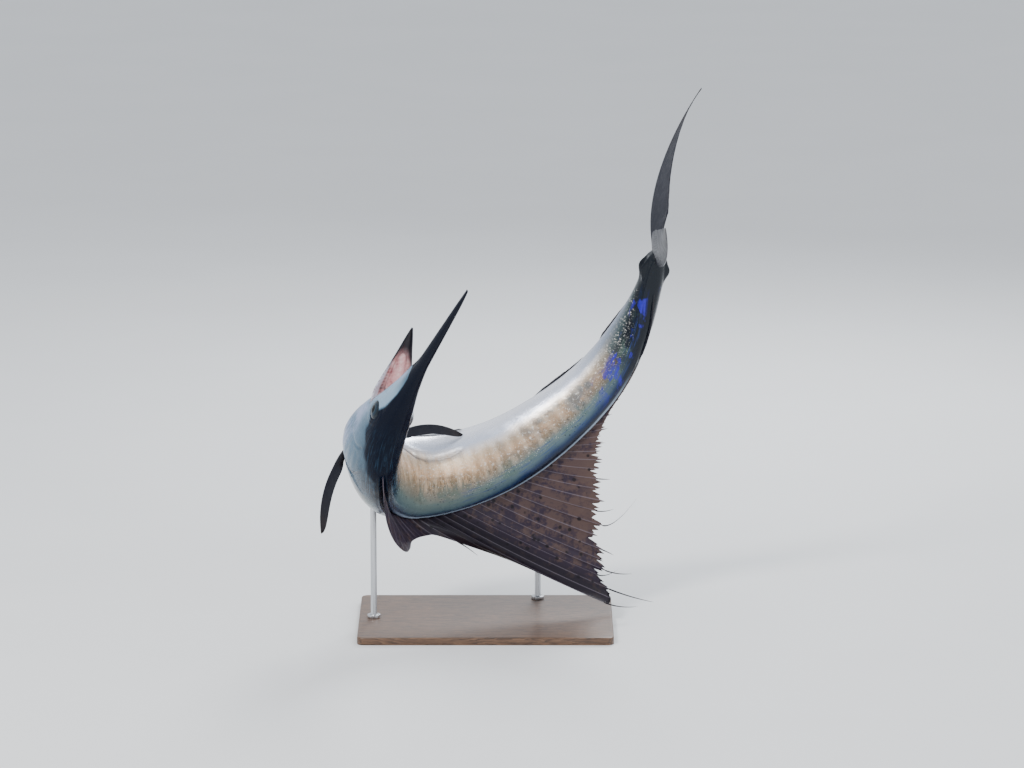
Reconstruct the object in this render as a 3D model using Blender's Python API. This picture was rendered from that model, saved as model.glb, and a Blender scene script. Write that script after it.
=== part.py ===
"""Still, life-size sailfish caught in a leap, held on a plain display stand.

Metres, +Z up, origin at the middle of the underside of the base.
"""
import bpy
import bmesh
import math
import numpy as np
from mathutils import Vector
from mathutils.bvhtree import BVHTree

# driving sizes, metres unless said otherwise
body_length = 1.90
gap = 0.0003
ring_points = 28
ring_step = 0.020
mouth_angle = 33.0
bill_share = -0.202
jaw_share = 0.130
hinge_share = 0.150
neck_share = 0.200
trunk_step = 0.100
tail_end_share = 0.968
base_long = 0.74
base_deep = 0.50
base_thick = 0.022
base_edge = 0.006
rod_radius = 0.009
sail_clearance = 0.030

# share of length, bearing, climb and roll of the rearward direction in degrees
spine_table = (
    (0.00, 118, -43, 200), (0.15, 118, -43, 199), (0.20, 115, -43, 189),
    (0.26, 92, -40, 165), (0.34, 60, -20, 154), (0.42, 33, -3, 164),
    (0.50, 17, 13, 169), (0.60, 6, 31, 166), (0.70, 1, 43, 162),
    (0.80, 1, 59, 157), (0.86, -12, 66, 151), (0.90, -32, 69, 150),
    (0.97, -64, 70, 158), (1.00, -70, 70, 161))

# share, height above the axis, depth below it, half width, as shares of length
section_table = (
    (-0.202, 0.0008, 0.0008, 0.0009), (-0.175, 0.0026, 0.0022, 0.0028),
    (-0.10, 0.0056, 0.0044, 0.0058), (-0.02, 0.0078, 0.0058, 0.0085),
    (0.00, 0.0092, 0.0062, 0.0093), (0.05, 0.0165, 0.0220, 0.0150),
    (0.09, 0.0265, 0.0330, 0.0215), (0.125, 0.0370, 0.0400, 0.0272),
    (0.16, 0.0505, 0.0480, 0.0325), (0.20, 0.0635, 0.0570, 0.0365),
    (0.25, 0.0690, 0.0615, 0.0390), (0.35, 0.0680, 0.0640, 0.0395),
    (0.45, 0.0630, 0.0610, 0.0375), (0.55, 0.0565, 0.0555, 0.0345),
    (0.65, 0.0485, 0.0495, 0.0315), (0.75, 0.0405, 0.0415, 0.0280),
    (0.85, 0.0295, 0.0300, 0.0230), (0.92, 0.0208, 0.0208, 0.0188),
    (0.955, 0.0178, 0.0178, 0.0160), (0.98, 0.0185, 0.0185, 0.0100))

# share, depth of the line of the mouth below the axis
mouth_table = (
    (-0.30, 0.0050), (-0.02, 0.0058), (0.00, 0.0063), (0.05, 0.0095),
    (0.09, 0.0145), (0.125, 0.0200), (0.15, 0.0245), (0.18, 0.0270), (0.23, 0.0280))

# share, lean of the ray back from upright in degrees, ray length as share of length
sail_table = (
    (0.205, 24, 0.035), (0.235, 34, 0.075), (0.265, 41, 0.090), (0.295, 45, 0.078),
    (0.325, 47, 0.058), (0.355, 50, 0.048), (0.385, 54, 0.045), (0.40, 58, 0.072),
    (0.41, 60, 0.141), (0.42, 59, 0.231), (0.43, 58, 0.302), (0.445, 57, 0.292),
    (0.46, 55.7, 0.270), (0.48, 53.2, 0.243), (0.50, 50.4, 0.215), (0.52, 48.5, 0.186),
    (0.54, 48, 0.160), (0.56, 48.5, 0.135), (0.58, 49.3, 0.109), (0.60, 50.5, 0.087),
    (0.62, 53, 0.069), (0.64, 56, 0.055), (0.66, 58.5, 0.043), (0.68, 60, 0.030),
    (0.70, 62, 0.0195), (0.72, 69, 0.0125), (0.76, 74, 0.009), (0.79, 76, 0.006))
sail_start = 0.208
sail_end = 0.790
sail_rays = 42
sail_rows = 8
sail_cuts = (0, 8, 15, 22, 29, 42)
long_rays = {15: 0.012, 16: 0.010, 19: 0.024, 21: 0.032, 22: 0.018, 25: 0.030, 27: 0.010, 29: 0.008}

# share, lean and length of the rays of the three small fins, folded along the midline
small_dorsal = ((0.80, 82, 0.018), (0.82, 83, 0.030), (0.85, 84, 0.034), (0.875, 85, 0.045))
small_anal = ((0.79, 78, 0.018), (0.82, 80, 0.028), (0.85, 82, 0.030), (0.875, 84, 0.036))
first_anal = ((0.64, 84, 0.030), (0.66, 86, 0.055), (0.68, 87, 0.052), (0.72, 87, 0.030),
              (0.75, 87, 0.020))

# eyes, as shares of length
eye_share = 0.130
eye_height = 0.001
eye_reach = 0.0138

# side, way and spread as rearward, dorsal and outward parts, length and bow in metres
pectoral_broad = 0.031
pectorals = (
    ("left", 1, (0.883, 0.337, 0.333), 0.320, (0.10, 0.476, -0.874), 0.026),
    ("right", -1, (0.627, -0.150, 0.768), 0.304, (0.46, 0.85, -0.24), 0.034))

# side, sway, bend, its power, twist, length and height of the lobes of the tail fin
tail_lobes = (
    ("upper", 1, 0.0, -0.030, 2.5, -0.30, 0.95, 1.0),
    ("lower", -1, -0.046, 0.101, 2.14, 0.27, 1.128, 1.036))


def unit(v):
    return v / np.linalg.norm(v)


def smooth(x, table, column):
    """Cubic through a table of stations."""
    xs = [row[0] for row in table]
    ys = [row[column] for row in table]
    i = int(np.clip(np.searchsorted(xs, x, side="right") - 1, 0, len(xs) - 2))
    slopes = [(ys[k + 1] - ys[k]) / (xs[k + 1] - xs[k]) for k in range(len(xs) - 1)]
    m0 = slopes[0] if i == 0 else (slopes[i - 1] + slopes[i]) / 2
    m1 = slopes[-1] if i == len(xs) - 2 else (slopes[i] + slopes[i + 1]) / 2
    if i > 0 and slopes[i - 1] * slopes[i] <= 0:
        m0 = 0.0
    if i < len(xs) - 2 and slopes[i] * slopes[i + 1] <= 0:
        m1 = 0.0
    h = xs[i + 1] - xs[i]
    t = min(max((x - xs[i]) / h, 0.0), 1.0)
    a = (2 * t ** 3 - 3 * t ** 2 + 1) * ys[i] + (t ** 3 - 2 * t ** 2 + t) * h * m0
    b = (-2 * t ** 3 + 3 * t ** 2) * ys[i + 1] + (t ** 3 - t ** 2) * h * m1
    return a + b


def axes_of(bearing, climb, roll):
    """Rearward, dorsal and left directions of one station."""
    b, c, r = (math.radians(v) for v in (bearing, climb, roll))
    t = np.array((math.cos(c) * math.cos(b), math.cos(c) * math.sin(b), math.sin(c)))
    up = unit(np.array((0.0, 0.0, 1.0)) - t * t[2])
    side = np.cross(t, up)
    d = up * math.cos(r) + side * math.sin(r)
    return t, d, np.cross(d, -t)


def blended(share, column):
    """Direction of a station, blended between those of the table."""
    xs = [row[0] for row in spine_table]
    vs = [axes_of(*row[1:])[column] for row in spine_table]
    return np.array([smooth(share, [(x, v[k]) for x, v in zip(xs, vs)], 1) for k in range(3)])


spine_fine = np.linspace(-0.30, 1.0, 651)
spine_t = np.array([unit(blended(max(s, 0.0), 0)) for s in spine_fine])
spine_d = np.array([blended(max(s, 0.0), 1) for s in spine_fine])
spine_d = np.array([unit(d - t * d.dot(t)) for d, t in zip(spine_d, spine_t)])
steps = (spine_t[1:] + spine_t[:-1]) / 2 * (spine_fine[1] - spine_fine[0]) * body_length
spine_p = np.concatenate([[np.zeros(3)], np.cumsum(steps, axis=0)])


def station(share):
    """Point, rearward, dorsal and left directions at a share of the length."""
    out = []
    for array in (spine_p, spine_t, spine_d):
        out.append(np.array([np.interp(share, spine_fine, array[:, k]) for k in range(3)]))
    p, t, d = out[0], unit(out[1]), out[2]
    d = unit(d - t * d.dot(t))
    return p, t, d, np.cross(d, -t)


def sizes(share):
    up, down, half = (smooth(share, section_table, k) * body_length for k in (1, 2, 3))
    return up, down, half


def mouth_depth(share):
    return smooth(share, mouth_table, 1) * body_length


def power(value, exponent):
    return math.copysign(abs(value) ** exponent, value)


def outline(share, kind):
    """Outline of a body section as (left, up) pairs, from the top over the left side."""
    up, down, half = sizes(share)
    if kind in ("head", "bill"):
        down = mouth_depth(share)
    pairs = []
    for k in range(ring_points):
        a = 2 * math.pi * k / ring_points
        s, c = math.sin(a), math.cos(a)
        if kind == "head" and c < -1e-6:
            free = min(max((0.146 - share) / 0.02, 0.0), 1.0) * min(max((share + 0.02) / 0.03, 0.0), 1.0)
            lip = free if abs(c) < 0.3 else 0.0
            rise = 0.40 * free * c * c if abs(c) > 0.3 else 0.0
            pairs.append((half * (0.97 + 0.06 * lip) * s, -down * (1 + 0.10 * lip - rise)))
        elif kind == "throat":
            line = mouth_depth(share) + gap
            if c > 1e-6:
                pairs.append((half * 0.97 * s, -line))
            else:
                pairs.append((half * 0.97 * power(s, 0.9), -line - (down - line) * abs(c) ** 0.9))
        else:
            x = half * power(s, 0.93)
            if kind == "tail":
                for bump in (0.36, -0.36):
                    away = (abs(s) * math.atan2(c, abs(s)) - bump) / 0.16
                    keel = 0.0075 * math.exp(-((share - 0.948) / 0.014) ** 2)
                    x += math.copysign(body_length * keel * math.exp(-away ** 2), s)
            pairs.append((x, (up if c > 0 else down) * power(c, 0.93)))
    return pairs


def ring(share, kind, shift=0.0):
    """Section ring in space, moved along the spine by a small shift."""
    p, t, d, left = station(share)
    return [p + t * shift + left * x + d * y for x, y in outline(share, kind)]


def shares_between(a, b, step=ring_step):
    inner = [k * step for k in range(-40, 110) if a + 0.004 < k * step < b - 0.004]
    return [a] + inner + [b]


def capped(rings, turned=()):
    """Closed loft through rings of one size, with a fan at each end.

    Columns named in turned are split along their other diagonal.
    """
    n = len(rings[0])
    verts = [v for r in rings for v in r]
    faces = []
    for k in range(len(rings) - 1):
        for j in range(n):
            i = (j + 1) % n
            a, b = k * n + j, k * n + i
            if j in turned:
                faces.append((a, b, a + n))
                faces.append((b, b + n, a + n))
            else:
                faces.append((a, b, b + n))
                faces.append((a, b + n, a + n))
    first, last = len(verts), len(verts) + 1
    verts.append(sum(rings[0]) / n)
    verts.append(sum(rings[-1]) / n)
    top = (len(rings) - 1) * n
    for j in range(n):
        i = (j + 1) % n
        faces.append((first, i, j))
        faces.append((last, top + j, top + i))
    return verts, faces


def segment(a, b, kind):
    """Length of body between two shares, half the gap short at each end."""
    rings = []
    stations = shares_between(a, b, ring_step / 2 if kind in ("head", "throat") else ring_step)
    for k, s in enumerate(stations):
        shift = gap / 2 if k == 0 else (-gap / 2 if k == len(stations) - 1 else 0.0)
        rings.append(ring(s, kind, shift))
    quarter = ring_points // 4
    upper = [j for j in range(ring_points) if j < quarter or j >= ring_points - quarter]
    return capped(rings, upper if kind == "throat" else ())


materials = {}


def material(name, color, rough, metal):
    mat = bpy.data.materials.new(name)
    mat.use_nodes = True
    shader = mat.node_tree.nodes["Principled BSDF"]
    shader.inputs["Base Color"].default_value = (*color, 1.0)
    shader.inputs["Roughness"].default_value = rough
    shader.inputs["Metallic"].default_value = metal
    mat.diffuse_color = (*color, 1.0)
    return mat


def make(name, mesh, look, flat=False):
    """Mesh object with outward faces and a material of its own."""
    verts, faces = mesh
    data = bpy.data.meshes.new(name)
    data.from_pydata([tuple(float(c) for c in v) for v in verts], [], faces)
    form = bmesh.new()
    form.from_mesh(data)
    bmesh.ops.remove_doubles(form, verts=form.verts, dist=1e-6)
    bmesh.ops.dissolve_degenerate(form, edges=form.edges, dist=1e-7)
    bmesh.ops.recalc_face_normals(form, faces=form.faces)
    if form.calc_volume(signed=True) < 0:
        bmesh.ops.reverse_faces(form, faces=form.faces)
    form.to_mesh(data)
    form.free()
    for face in data.polygons:
        face.use_smooth = not flat
    obj = bpy.data.objects.new(name, data)
    bpy.context.scene.collection.objects.link(obj)
    data.materials.append(material(name + "_look", *look))
    return obj


def tree_of(*meshes):
    verts, faces = [], []
    for v, f in meshes:
        base = len(verts)
        verts += [Vector(tuple(p)) for p in v]
        faces += [tuple(i + base for i in face) for face in f]
    return BVHTree.FromPolygons(verts, faces)


def clear_of(tree, point, wanted, outward):
    """Shift needed along outward to stand at least the wanted distance off a surface."""
    near, normal, index, dist = tree.find_nearest(Vector(tuple(point)))
    if near is None:
        return 0.0
    inside = (Vector(tuple(point)) - near).dot(Vector(tuple(outward))) < 0
    short = wanted + dist if inside else wanted - dist
    return max(short, 0.0)


def settle(verts, faces, moves, tree, wanted=gap):
    """Raise the vertices of an underside until every face of it clears the surface."""
    under = [f for f in faces if all(i in moves for i in f)]
    for round_number in range(8):
        lift = {}
        for f in under:
            pts = [verts[i] for i in f]
            spots = pts + [sum(pts) / len(pts)]
            spots += [(pts[k] + pts[(k + 1) % len(pts)]) / 2 for k in range(len(pts))]
            outward = unit(sum(moves[i] for i in f))
            worst = max(clear_of(tree, spot, wanted, outward) for spot in spots)
            for i in f:
                lift[i] = max(lift.get(i, 0.0), worst)
        if max(lift.values()) < 1e-5:
            break
        for i, amount in lift.items():
            verts[i] = verts[i] + moves[i] * amount


def side_point(share, height, side):
    """Point of the flank at a height off the axis, and its outward direction."""
    p, t, d, left = station(share)
    up, down, half = sizes(share)
    reach = up if height > 0 else down
    level = min(abs(height) / reach, 0.985)
    width = half * (1 - level ** 2.15) ** 0.465
    slope = half * 0.5 * 2.15 * level ** 1.15 / reach / max((1 - level ** 2.15) ** 0.535, 0.12)
    out = unit(left * side + d * math.copysign(slope, height))
    return p + left * side * width + d * height, out


def patch(side, spots, thick, tree, wanted=gap):
    """Plate lying on the flank: rings of (share, height) with a thickness each, to a centre."""
    verts, faces, moves = [], [], {}
    n = len(spots[0])
    count = sum(len(r) for r in spots)
    for layer in range(2):
        for r, row in enumerate(spots):
            for share, height in row:
                base, out = side_point(share, height * body_length, side)
                if layer == 0:
                    moves[len(verts)] = out
                    verts.append(base + out * wanted)
                else:
                    verts.append(base + out * (wanted + thick[r]))
    for layer in range(2):
        o = layer * count
        for r in range(len(spots) - 2):
            for j in range(n):
                i = (j + 1) % n
                a, b = o + r * n + j, o + r * n + i
                faces.append((a, b, b + n))
                faces.append((a, b + n, a + n))
        centre = o + (len(spots) - 1) * n
        start = o + (len(spots) - 2) * n
        for j in range(n):
            faces.append((start + j, start + (j + 1) % n, centre))
    for j in range(n):
        i = (j + 1) % n
        faces.append((j, i, count + i))
        faces.append((j, count + i, count + j))
    before = [v.copy() for v in verts[:count]]
    settle(verts, faces, moves, tree, wanted)
    lifts = [(verts[k] - before[k]).dot(moves[k]) for k in range(count)]
    for round_number in range(4):
        old = list(lifts)
        for r in range(len(spots) - 1):
            for j in range(n):
                near = [old[r * n + (j + 1) % n], old[r * n + (j - 1) % n],
                        old[max(r - 1, 0) * n + j], old[min((r + 1) * n + j, count - 1)]]
                lifts[r * n + j] = max(old[r * n + j], sum(near) / 4)
    for k in range(count):
        verts[k] = before[k] + moves[k] * lifts[k]
        verts[count + k] = verts[count + k] + (verts[k] - before[k])
    return verts, faces


def normals_of(columns):
    """Direction across a fin at every point of its grid."""
    grid = np.array(columns)
    cols, rows = grid.shape[:2]
    out = np.zeros(grid.shape)
    for c in range(cols):
        for r in range(rows):
            along = grid[min(c + 1, cols - 1), r] - grid[max(c - 1, 0), r]
            rise = grid[c, min(r + 1, rows - 1)] - grid[c, max(r - 1, 0)]
            out[c, r] = unit(np.cross(along, rise))
    return out


def sheet(columns, halves, across=None):
    """Thin two-sided fin: columns of points from base to edge, with half thicknesses."""
    cols, rows = len(columns), len(columns[0])
    grid = np.array(columns)
    across = normals_of(columns) if across is None else across
    verts, faces = [], []
    for side in (1, -1):
        for c in range(cols):
            for r in range(rows):
                verts.append(grid[c, r] + across[c][r] * side * halves[c][r])
    n = cols * rows
    for c in range(cols - 1):
        for r in range(rows - 1):
            a, b = c * rows + r, (c + 1) * rows + r
            for o in (0, n):
                faces.append((o + a, o + b, o + b + 1))
                faces.append((o + a, o + b + 1, o + a + 1))
    rim = [c * rows for c in range(cols)]
    rim += [(cols - 1) * rows + r for r in range(1, rows)]
    rim += [c * rows + rows - 1 for c in range(cols - 2, -1, -1)]
    rim += [r for r in range(rows - 2, 0, -1)]
    for k, a in enumerate(rim):
        b = rim[(k + 1) % len(rim)]
        faces.append((a, b, b + n))
        faces.append((a, b + n, a + n))
    return verts, faces


def edge_point(share, side, off=gap * 1.2):
    """Point just off the dorsal or ventral midline of the body, on the straight run of facets."""
    k = math.floor(share / ring_step + 1e-9)
    a, b = k * ring_step, (k + 1) * ring_step
    w = (share - a) / ring_step
    ends = []
    for s in (a, b):
        p, t, d, left = station(s)
        up, down, half = sizes(s)
        ends.append(p + d * (side * (up if side > 0 else down)))
    d = station(share)[2]
    return ends[0] * (1 - w) + ends[1] * w + d * side * off


def ray_line(share, lean, length, side, rows, bow=0.0, off=gap * 3.0):
    """Points of one fin ray from the midline of the body."""
    p, t, d, left = station(share)
    d = d * side
    a = math.radians(lean)
    later = station(min(share + 0.5 * length * math.sin(a), tail_end_share))[1]
    back = later - d * later.dot(d)
    way = unit(d * math.cos(a) + back * math.sin(a))
    across = unit(d - way * d.dot(way)) if lean > 1 else back
    foot = edge_point(share, side, off)
    out = []
    for r in range(rows):
        v = r / (rows - 1)
        out.append(foot + way * length * body_length * v + across * bow * body_length * v * (1 - v))
    return out


def noise(k, salt):
    return (math.sin(k * 12.9898 + salt * 78.233) * 43758.5453) % 1.0


def sail_share(position):
    return sail_start + (sail_end - sail_start) * position / sail_rays


def sail_column(position):
    """One column of the sail at a ray number; whole numbers are rays, halves are skin."""
    share = sail_share(position)
    lean = smooth(share, sail_table, 1)
    length = smooth(share, sail_table, 2)
    is_ray = abs(position - round(position)) < 0.01
    torn = min(max((share - 0.435) / 0.03, 0.0), 1.0)
    if is_ray:
        length += torn * long_rays.get(int(round(position)), 0.004)
    else:
        length -= torn * min(0.005 + 0.008 * noise(position, 1), length * 0.3)
    line = ray_line(share, lean, length, 1, sail_rows, 0.014 * length / 0.25)
    halves = []
    for r in range(sail_rows):
        v = r / (sail_rows - 1)
        if is_ray:
            halves.append(0.0015 * (1 - v) + 0.0006 * v)
        else:
            halves.append(0.0011 * (1 - v) + 0.00035 * v)
    return line, halves


def trimmed(columns, at_start, at_end):
    """Draw the first or last column in by half the gap, towards its neighbour."""
    cols = [[np.array(p) for p in c] for c in columns]
    for wanted, edge, inner in ((at_start, 0, 1), (at_end, -1, -2)):
        if not wanted:
            continue
        for r in range(len(cols[edge])):
            run = cols[edge][min(r + 1, len(cols[edge]) - 1)] - cols[edge][max(r - 1, 0)]
            way = cols[inner][r] - cols[edge][r]
            way = way - run * way.dot(run) / run.dot(run)
            cols[edge][r] = cols[edge][r] + unit(way) * gap * 0.6
    return cols


def folded_line(share, lean, length, side, rows):
    """Points of a fin ray folded back along the midline of the body."""
    a = math.radians(lean)
    out = []
    for r in range(rows):
        reach = length * r / (rows - 1)
        out.append(edge_point(share + reach * math.sin(a), side, gap * 2.6 + body_length * reach * math.cos(a)))
    return out


def midline_fin(first, last, rays, side, table, rows, root_half):
    """Small fin on the dorsal or ventral midline, its rays read from a table."""
    columns, halves = [], []
    for k in range(2 * rays + 1):
        share = first + (last - first) * k / (2 * rays)
        length = smooth(share, table, 2)
        if k % 2:
            length *= 0.95
        columns.append(folded_line(share, smooth(share, table, 1), length, side, rows))
        top = root_half if k % 2 == 0 else root_half * 0.55
        halves.append([top * (1 - r / (rows - 1)) + 0.0004 for r in range(rows)])
    return columns, halves


def pectoral_fin(side, way, length, spread, bow, rays, rows, root_half):
    """Sickle fin on the flank: its blade turns from the root line to the spread direction."""
    p, t, d, left = station(0.263)
    root_a, out_a = side_point(0.263, -0.026 * body_length, side)
    root_b, out_b = side_point(0.289, -0.030 * body_length, side)
    root_a = root_a + out_a * 0.004
    root_b = root_b + out_b * 0.004
    way, spread = (unit(t * w[0] + d * w[1] + left * side * w[2]) for w in (way, spread))
    columns, halves = [], []
    for k in range(2 * rays + 1):
        line = []
        for r in range(rows):
            v = r / (rows - 1)
            if k % 2:
                v *= 0.985
            turn = min(v / 0.28, 1.0)
            turn = turn * turn * (3 - 2 * turn)
            broad = pectoral_broad * (1 - 0.15 * v) * max(1 - v ** 7, 0.004) ** 0.6
            lead = root_a + way * length * v - spread * bow * 4 * v * (1 - v)
            chord = (root_b - root_a) * (1 - turn) + spread * broad * turn
            line.append(lead + chord * k / (2 * rays))
        columns.append(line)
        top = root_half if k % 2 == 0 else root_half * 0.55
        halves.append([top * (1 - r / (rows - 1)) + 0.0005 for r in range(rows)])
    return columns, halves


def tail_lobe(side, sway, bend, bend_power, twist, long, tall):
    """One lobe of the tail fin, from the end of the stalk."""
    p, t, d, left = station(tail_end_share)
    d = d * side
    lead = ((0.0, 0.0, 0.0165), (0.08, 0.004, 0.034), (0.2, 0.016, 0.060), (0.4, 0.044, 0.100),
            (0.6, 0.080, 0.137), (0.8, 0.122, 0.172), (1.0, 0.1675, 0.2055))
    trail = ((0.0, 0.0, 0.0004), (0.08, 0.026, 0.004), (0.2, 0.056, 0.025), (0.4, 0.086, 0.070),
             (0.6, 0.114, 0.116), (0.8, 0.143, 0.163), (1.0, 0.1660, 0.2040))
    columns, halves = [], []
    across, along = 12, 14
    for c in range(across + 1):
        w = c / across
        line, half = [], []
        for r in range(along + 1):
            q = r / along
            a = np.array((smooth(q, lead, 1), smooth(q, lead, 2)))
            b = np.array((smooth(q, trail, 1), smooth(q, trail, 2)))
            x, y = (a * (1 - w) + b * w) * body_length
            aside = sway * q + bend * q ** bend_power
            aside += twist * np.linalg.norm(a - b) * w * min(q / 0.2, 1.0)
            spot = p + t * (x * long + gap) + d * (y * tall + gap / 2)
            line.append(spot + left * aside * body_length)
            thick = (0.0052 if c % 2 == 0 else 0.0040) * (1 - q) ** 1.5 + 0.0009 * (1 - 0.4 * q)
            half.append(thick * (1 - 0.45 * w * (1 - q)) + 0.0002)
        columns.append(line)
        halves.append(half)
    return columns, halves


def pelvic(side):
    """Long thin belly fin, lifted a little off the belly and trailing along it."""
    columns, halves = [], []
    along = 16
    for c in range(5):
        line, half = [], []
        for r in range(along + 1):
            q = r / along
            share = 0.272 + 0.235 * q
            p, t, d, left = station(share)
            up, down, width = sizes(share)
            lift = 0.004 * math.sin(math.pi * q * 0.999) ** 0.8 + 0.0026 + 0.002 * q
            wide = body_length * (0.0052 * (1 - q) ** 0.7 + 0.0008)
            off = (c - 2) / 2 * wide
            aside = side * (body_length * (0.0085 - 0.002 * q) + off)
            drop = down * (1 - abs(aside) ** 2.15 / width ** 2.15) ** 0.465 + lift
            line.append(p + left * aside - d * drop)
            half.append((0.0016 if c in (1, 3) else 0.0009) * (1 - q) + 0.0005)
        columns.append(line)
        halves.append(half)
    return columns, halves


for old in list(bpy.data.objects):
    bpy.data.objects.remove(old, do_unlink=True)

navy = (0.012, 0.020, 0.045)
silver = (0.62, 0.66, 0.70)
bronze = (0.36, 0.27, 0.15)
sail_color = (0.035, 0.022, 0.030)
fin_color = (0.030, 0.022, 0.024)

meshes = {}
looks = {}


def add(name, mesh, look):
    meshes[name] = mesh
    looks[name] = look


add("bill", segment(bill_share, -0.020, "bill"), (navy, 0.25, 0.0))
add("head", segment(-0.020, neck_share, "head"), (navy, 0.25, 0.0))
add("throat", segment(hinge_share, neck_share, "throat"), (silver, 0.22, 0.0))
trunk_names = ("trunk_front", "trunk_shoulder", "trunk_middle", "trunk_waist", "trunk_rear", "tail_root")
for k, name in enumerate(trunk_names):
    low = neck_share + k * trunk_step
    add(name, segment(low, low + trunk_step, "trunk"), (silver if k < 2 else bronze, 0.22, 0.0))
add("tail_stalk", segment(neck_share + 6 * trunk_step, tail_end_share, "tail"), (navy, 0.25, 0.0))

# the lower jaw hangs open from its hinge at the corner of the mouth
p, t, d, left = station(hinge_share)
angle = math.radians(mouth_angle)
hinge = p - d * (mouth_depth(hinge_share) + gap)
ahead = -t * math.cos(angle) - d * math.sin(angle)
above = d * math.cos(angle) - t * math.sin(angle)
jaw_rings = [ring(hinge_share, "throat", -gap / 2)]
jaw_table = ((0.0, 0.0305, 0.0190), (0.16, 0.0290, 0.0175), (0.3, 0.0250, 0.0150),
             (0.5, 0.0180, 0.0115), (0.7, 0.0112, 0.0082), (0.88, 0.0056, 0.0050),
             (1.0, 0.0016, 0.0016))


def jaw_floor(q):
    return body_length * 0.0075 * (1 - q) ** 0.6 * min(q / 0.16, 1.0)


for q in (0.16, 0.26, 0.38, 0.50, 0.62, 0.74, 0.85, 0.94, 1.0):
    wide = smooth(q, jaw_table, 1) * body_length
    deep = smooth(q, jaw_table, 2) * body_length
    centre = hinge + ahead * jaw_share * body_length * q
    points = []
    for k in range(ring_points):
        a = 2 * math.pi * k / ring_points
        s, c = math.sin(a), math.cos(a)
        if c > 1e-6:
            points.append(centre + left * wide * 0.86 * power(s, 0.8) - above * jaw_floor(q) * c ** 0.4)
        else:
            lip = 1.05 if abs(c) < 0.3 else 1.0
            points.append(centre + left * wide * lip * power(s, 0.9) - above * deep * abs(c) ** 0.9)
    jaw_rings.append(points)
add("lower_jaw", capped(jaw_rings), (silver, 0.25, 0.0))

# tongue lying in the floor of the jaw
jaw_tree = tree_of(meshes["lower_jaw"])
tongue_rings = []
tongue_moves = {}
tongue_stations = (0.20, 0.26, 0.36, 0.48, 0.60, 0.68)
for r, q in enumerate(tongue_stations):
    wide = smooth(q, jaw_table, 1) * body_length * 0.48 * (0.6 if r in (0, 5) else 1.0)
    tall = 0.0035 * (0.45 if r in (0, 5) else 1.0)
    centre = hinge + ahead * jaw_share * body_length * q - above * (jaw_floor(q) - gap * 2)
    points = []
    for k in range(12):
        a = 2 * math.pi * k / 12
        points.append(centre + left * wide * math.sin(a) + above * tall * (1 + math.cos(a)))
    tongue_rings.append(points)
tongue = capped(tongue_rings)
spots = list(tongue[0])
short = max(clear_of(jaw_tree, v, gap, above) for v in spots)
for step in range(6):
    faces_mid = [sum(tongue[0][i] for i in f) / len(f) for f in tongue[1]]
    short = max(clear_of(jaw_tree, v, gap, above) for v in tongue[0] + faces_mid)
    if short < 1e-5:
        break
    tongue = ([v + above * min(short, 0.002) for v in tongue[0]], tongue[1])
add("tongue", tongue, ((0.52, 0.20, 0.19), 0.35, 0.0))

# eyes and gill covers lie on the sides of the head
flesh = tree_of(*(meshes[n] for n in ("head", "throat", "trunk_front")))
for side, word in ((1, "left"), (-1, "right")):
    rows = []
    for radius in (eye_reach, eye_reach * 0.91, eye_reach * 0.70, eye_reach * 0.38):
        rows.append([(eye_share + radius * math.cos(k * math.pi / 9),
                      eye_height + radius * math.sin(k * math.pi / 9)) for k in range(18)])
    rows.append([(eye_share, eye_height)])
    dome = [0.0012, 0.0034, 0.0058, 0.0074, 0.0080]
    add("eye_" + word, patch(side, rows, dome, flesh), ((0.015, 0.022, 0.035), 0.08, 0.0))
    rows = []
    for shrink in (1.0, 0.94, 0.80, 0.55, 0.28):
        row = []
        for k in range(24):
            a = 2 * math.pi * k / 24
            share = 0.209 + shrink * 0.047 * math.copysign(abs(math.cos(a)) ** 0.8, math.cos(a))
            height = -0.004 + shrink * 0.038 * math.copysign(abs(math.sin(a)) ** 0.85, math.sin(a))
            row.append((share, height - 0.10 * (share - 0.209)))
        rows.append(row)
    rows.append([(0.209, -0.004)])
    plate = [0.0012, 0.0030, 0.0036, 0.0036, 0.0036, 0.0036]
    add("gill_cover_" + word, patch(side, rows, plate, flesh), (silver, 0.2, 0.0))


def rim(side, share, height, long_radius, tall_radius, thick, around, sides):
    """Closed ring lying on the flank, half sunk in it."""
    rings = []
    for k in range(around):
        a = 2 * math.pi * k / around
        spots = []
        for reach in (1.0, 1.05):
            spots.append(side_point(share + long_radius * reach * math.cos(a),
                                    (height + tall_radius * reach * math.sin(a)) * body_length, side))
        (centre, out), (further, other) = spots
        away = unit(further - centre)
        rings.append([centre + (away * math.cos(b) + out * math.sin(b)) * thick
                      for b in (2 * math.pi * j / sides for j in range(sides))])
    verts = [v for r in rings for v in r]
    faces = []
    for k in range(around):
        for j in range(sides):
            a, b = k * sides + j, k * sides + (j + 1) % sides
            c, d = (k + 1) % around * sides + j, (k + 1) % around * sides + (j + 1) % sides
            faces.append((a, b, d))
            faces.append((a, d, c))
    return verts, faces


head_rims = []
for side in (1, -1):
    head_rims.append(rim(side, eye_share, eye_height, 0.0160, 0.0160, 0.0032, 28, 8))
    head_rims.append(rim(side, 0.0955, 0.0125, 0.0020, 0.0018, 0.0009, 10, 6))
    head_rims.append(rim(side, 0.1030, 0.0125, 0.0022, 0.0022, 0.0009, 12, 6))

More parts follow.
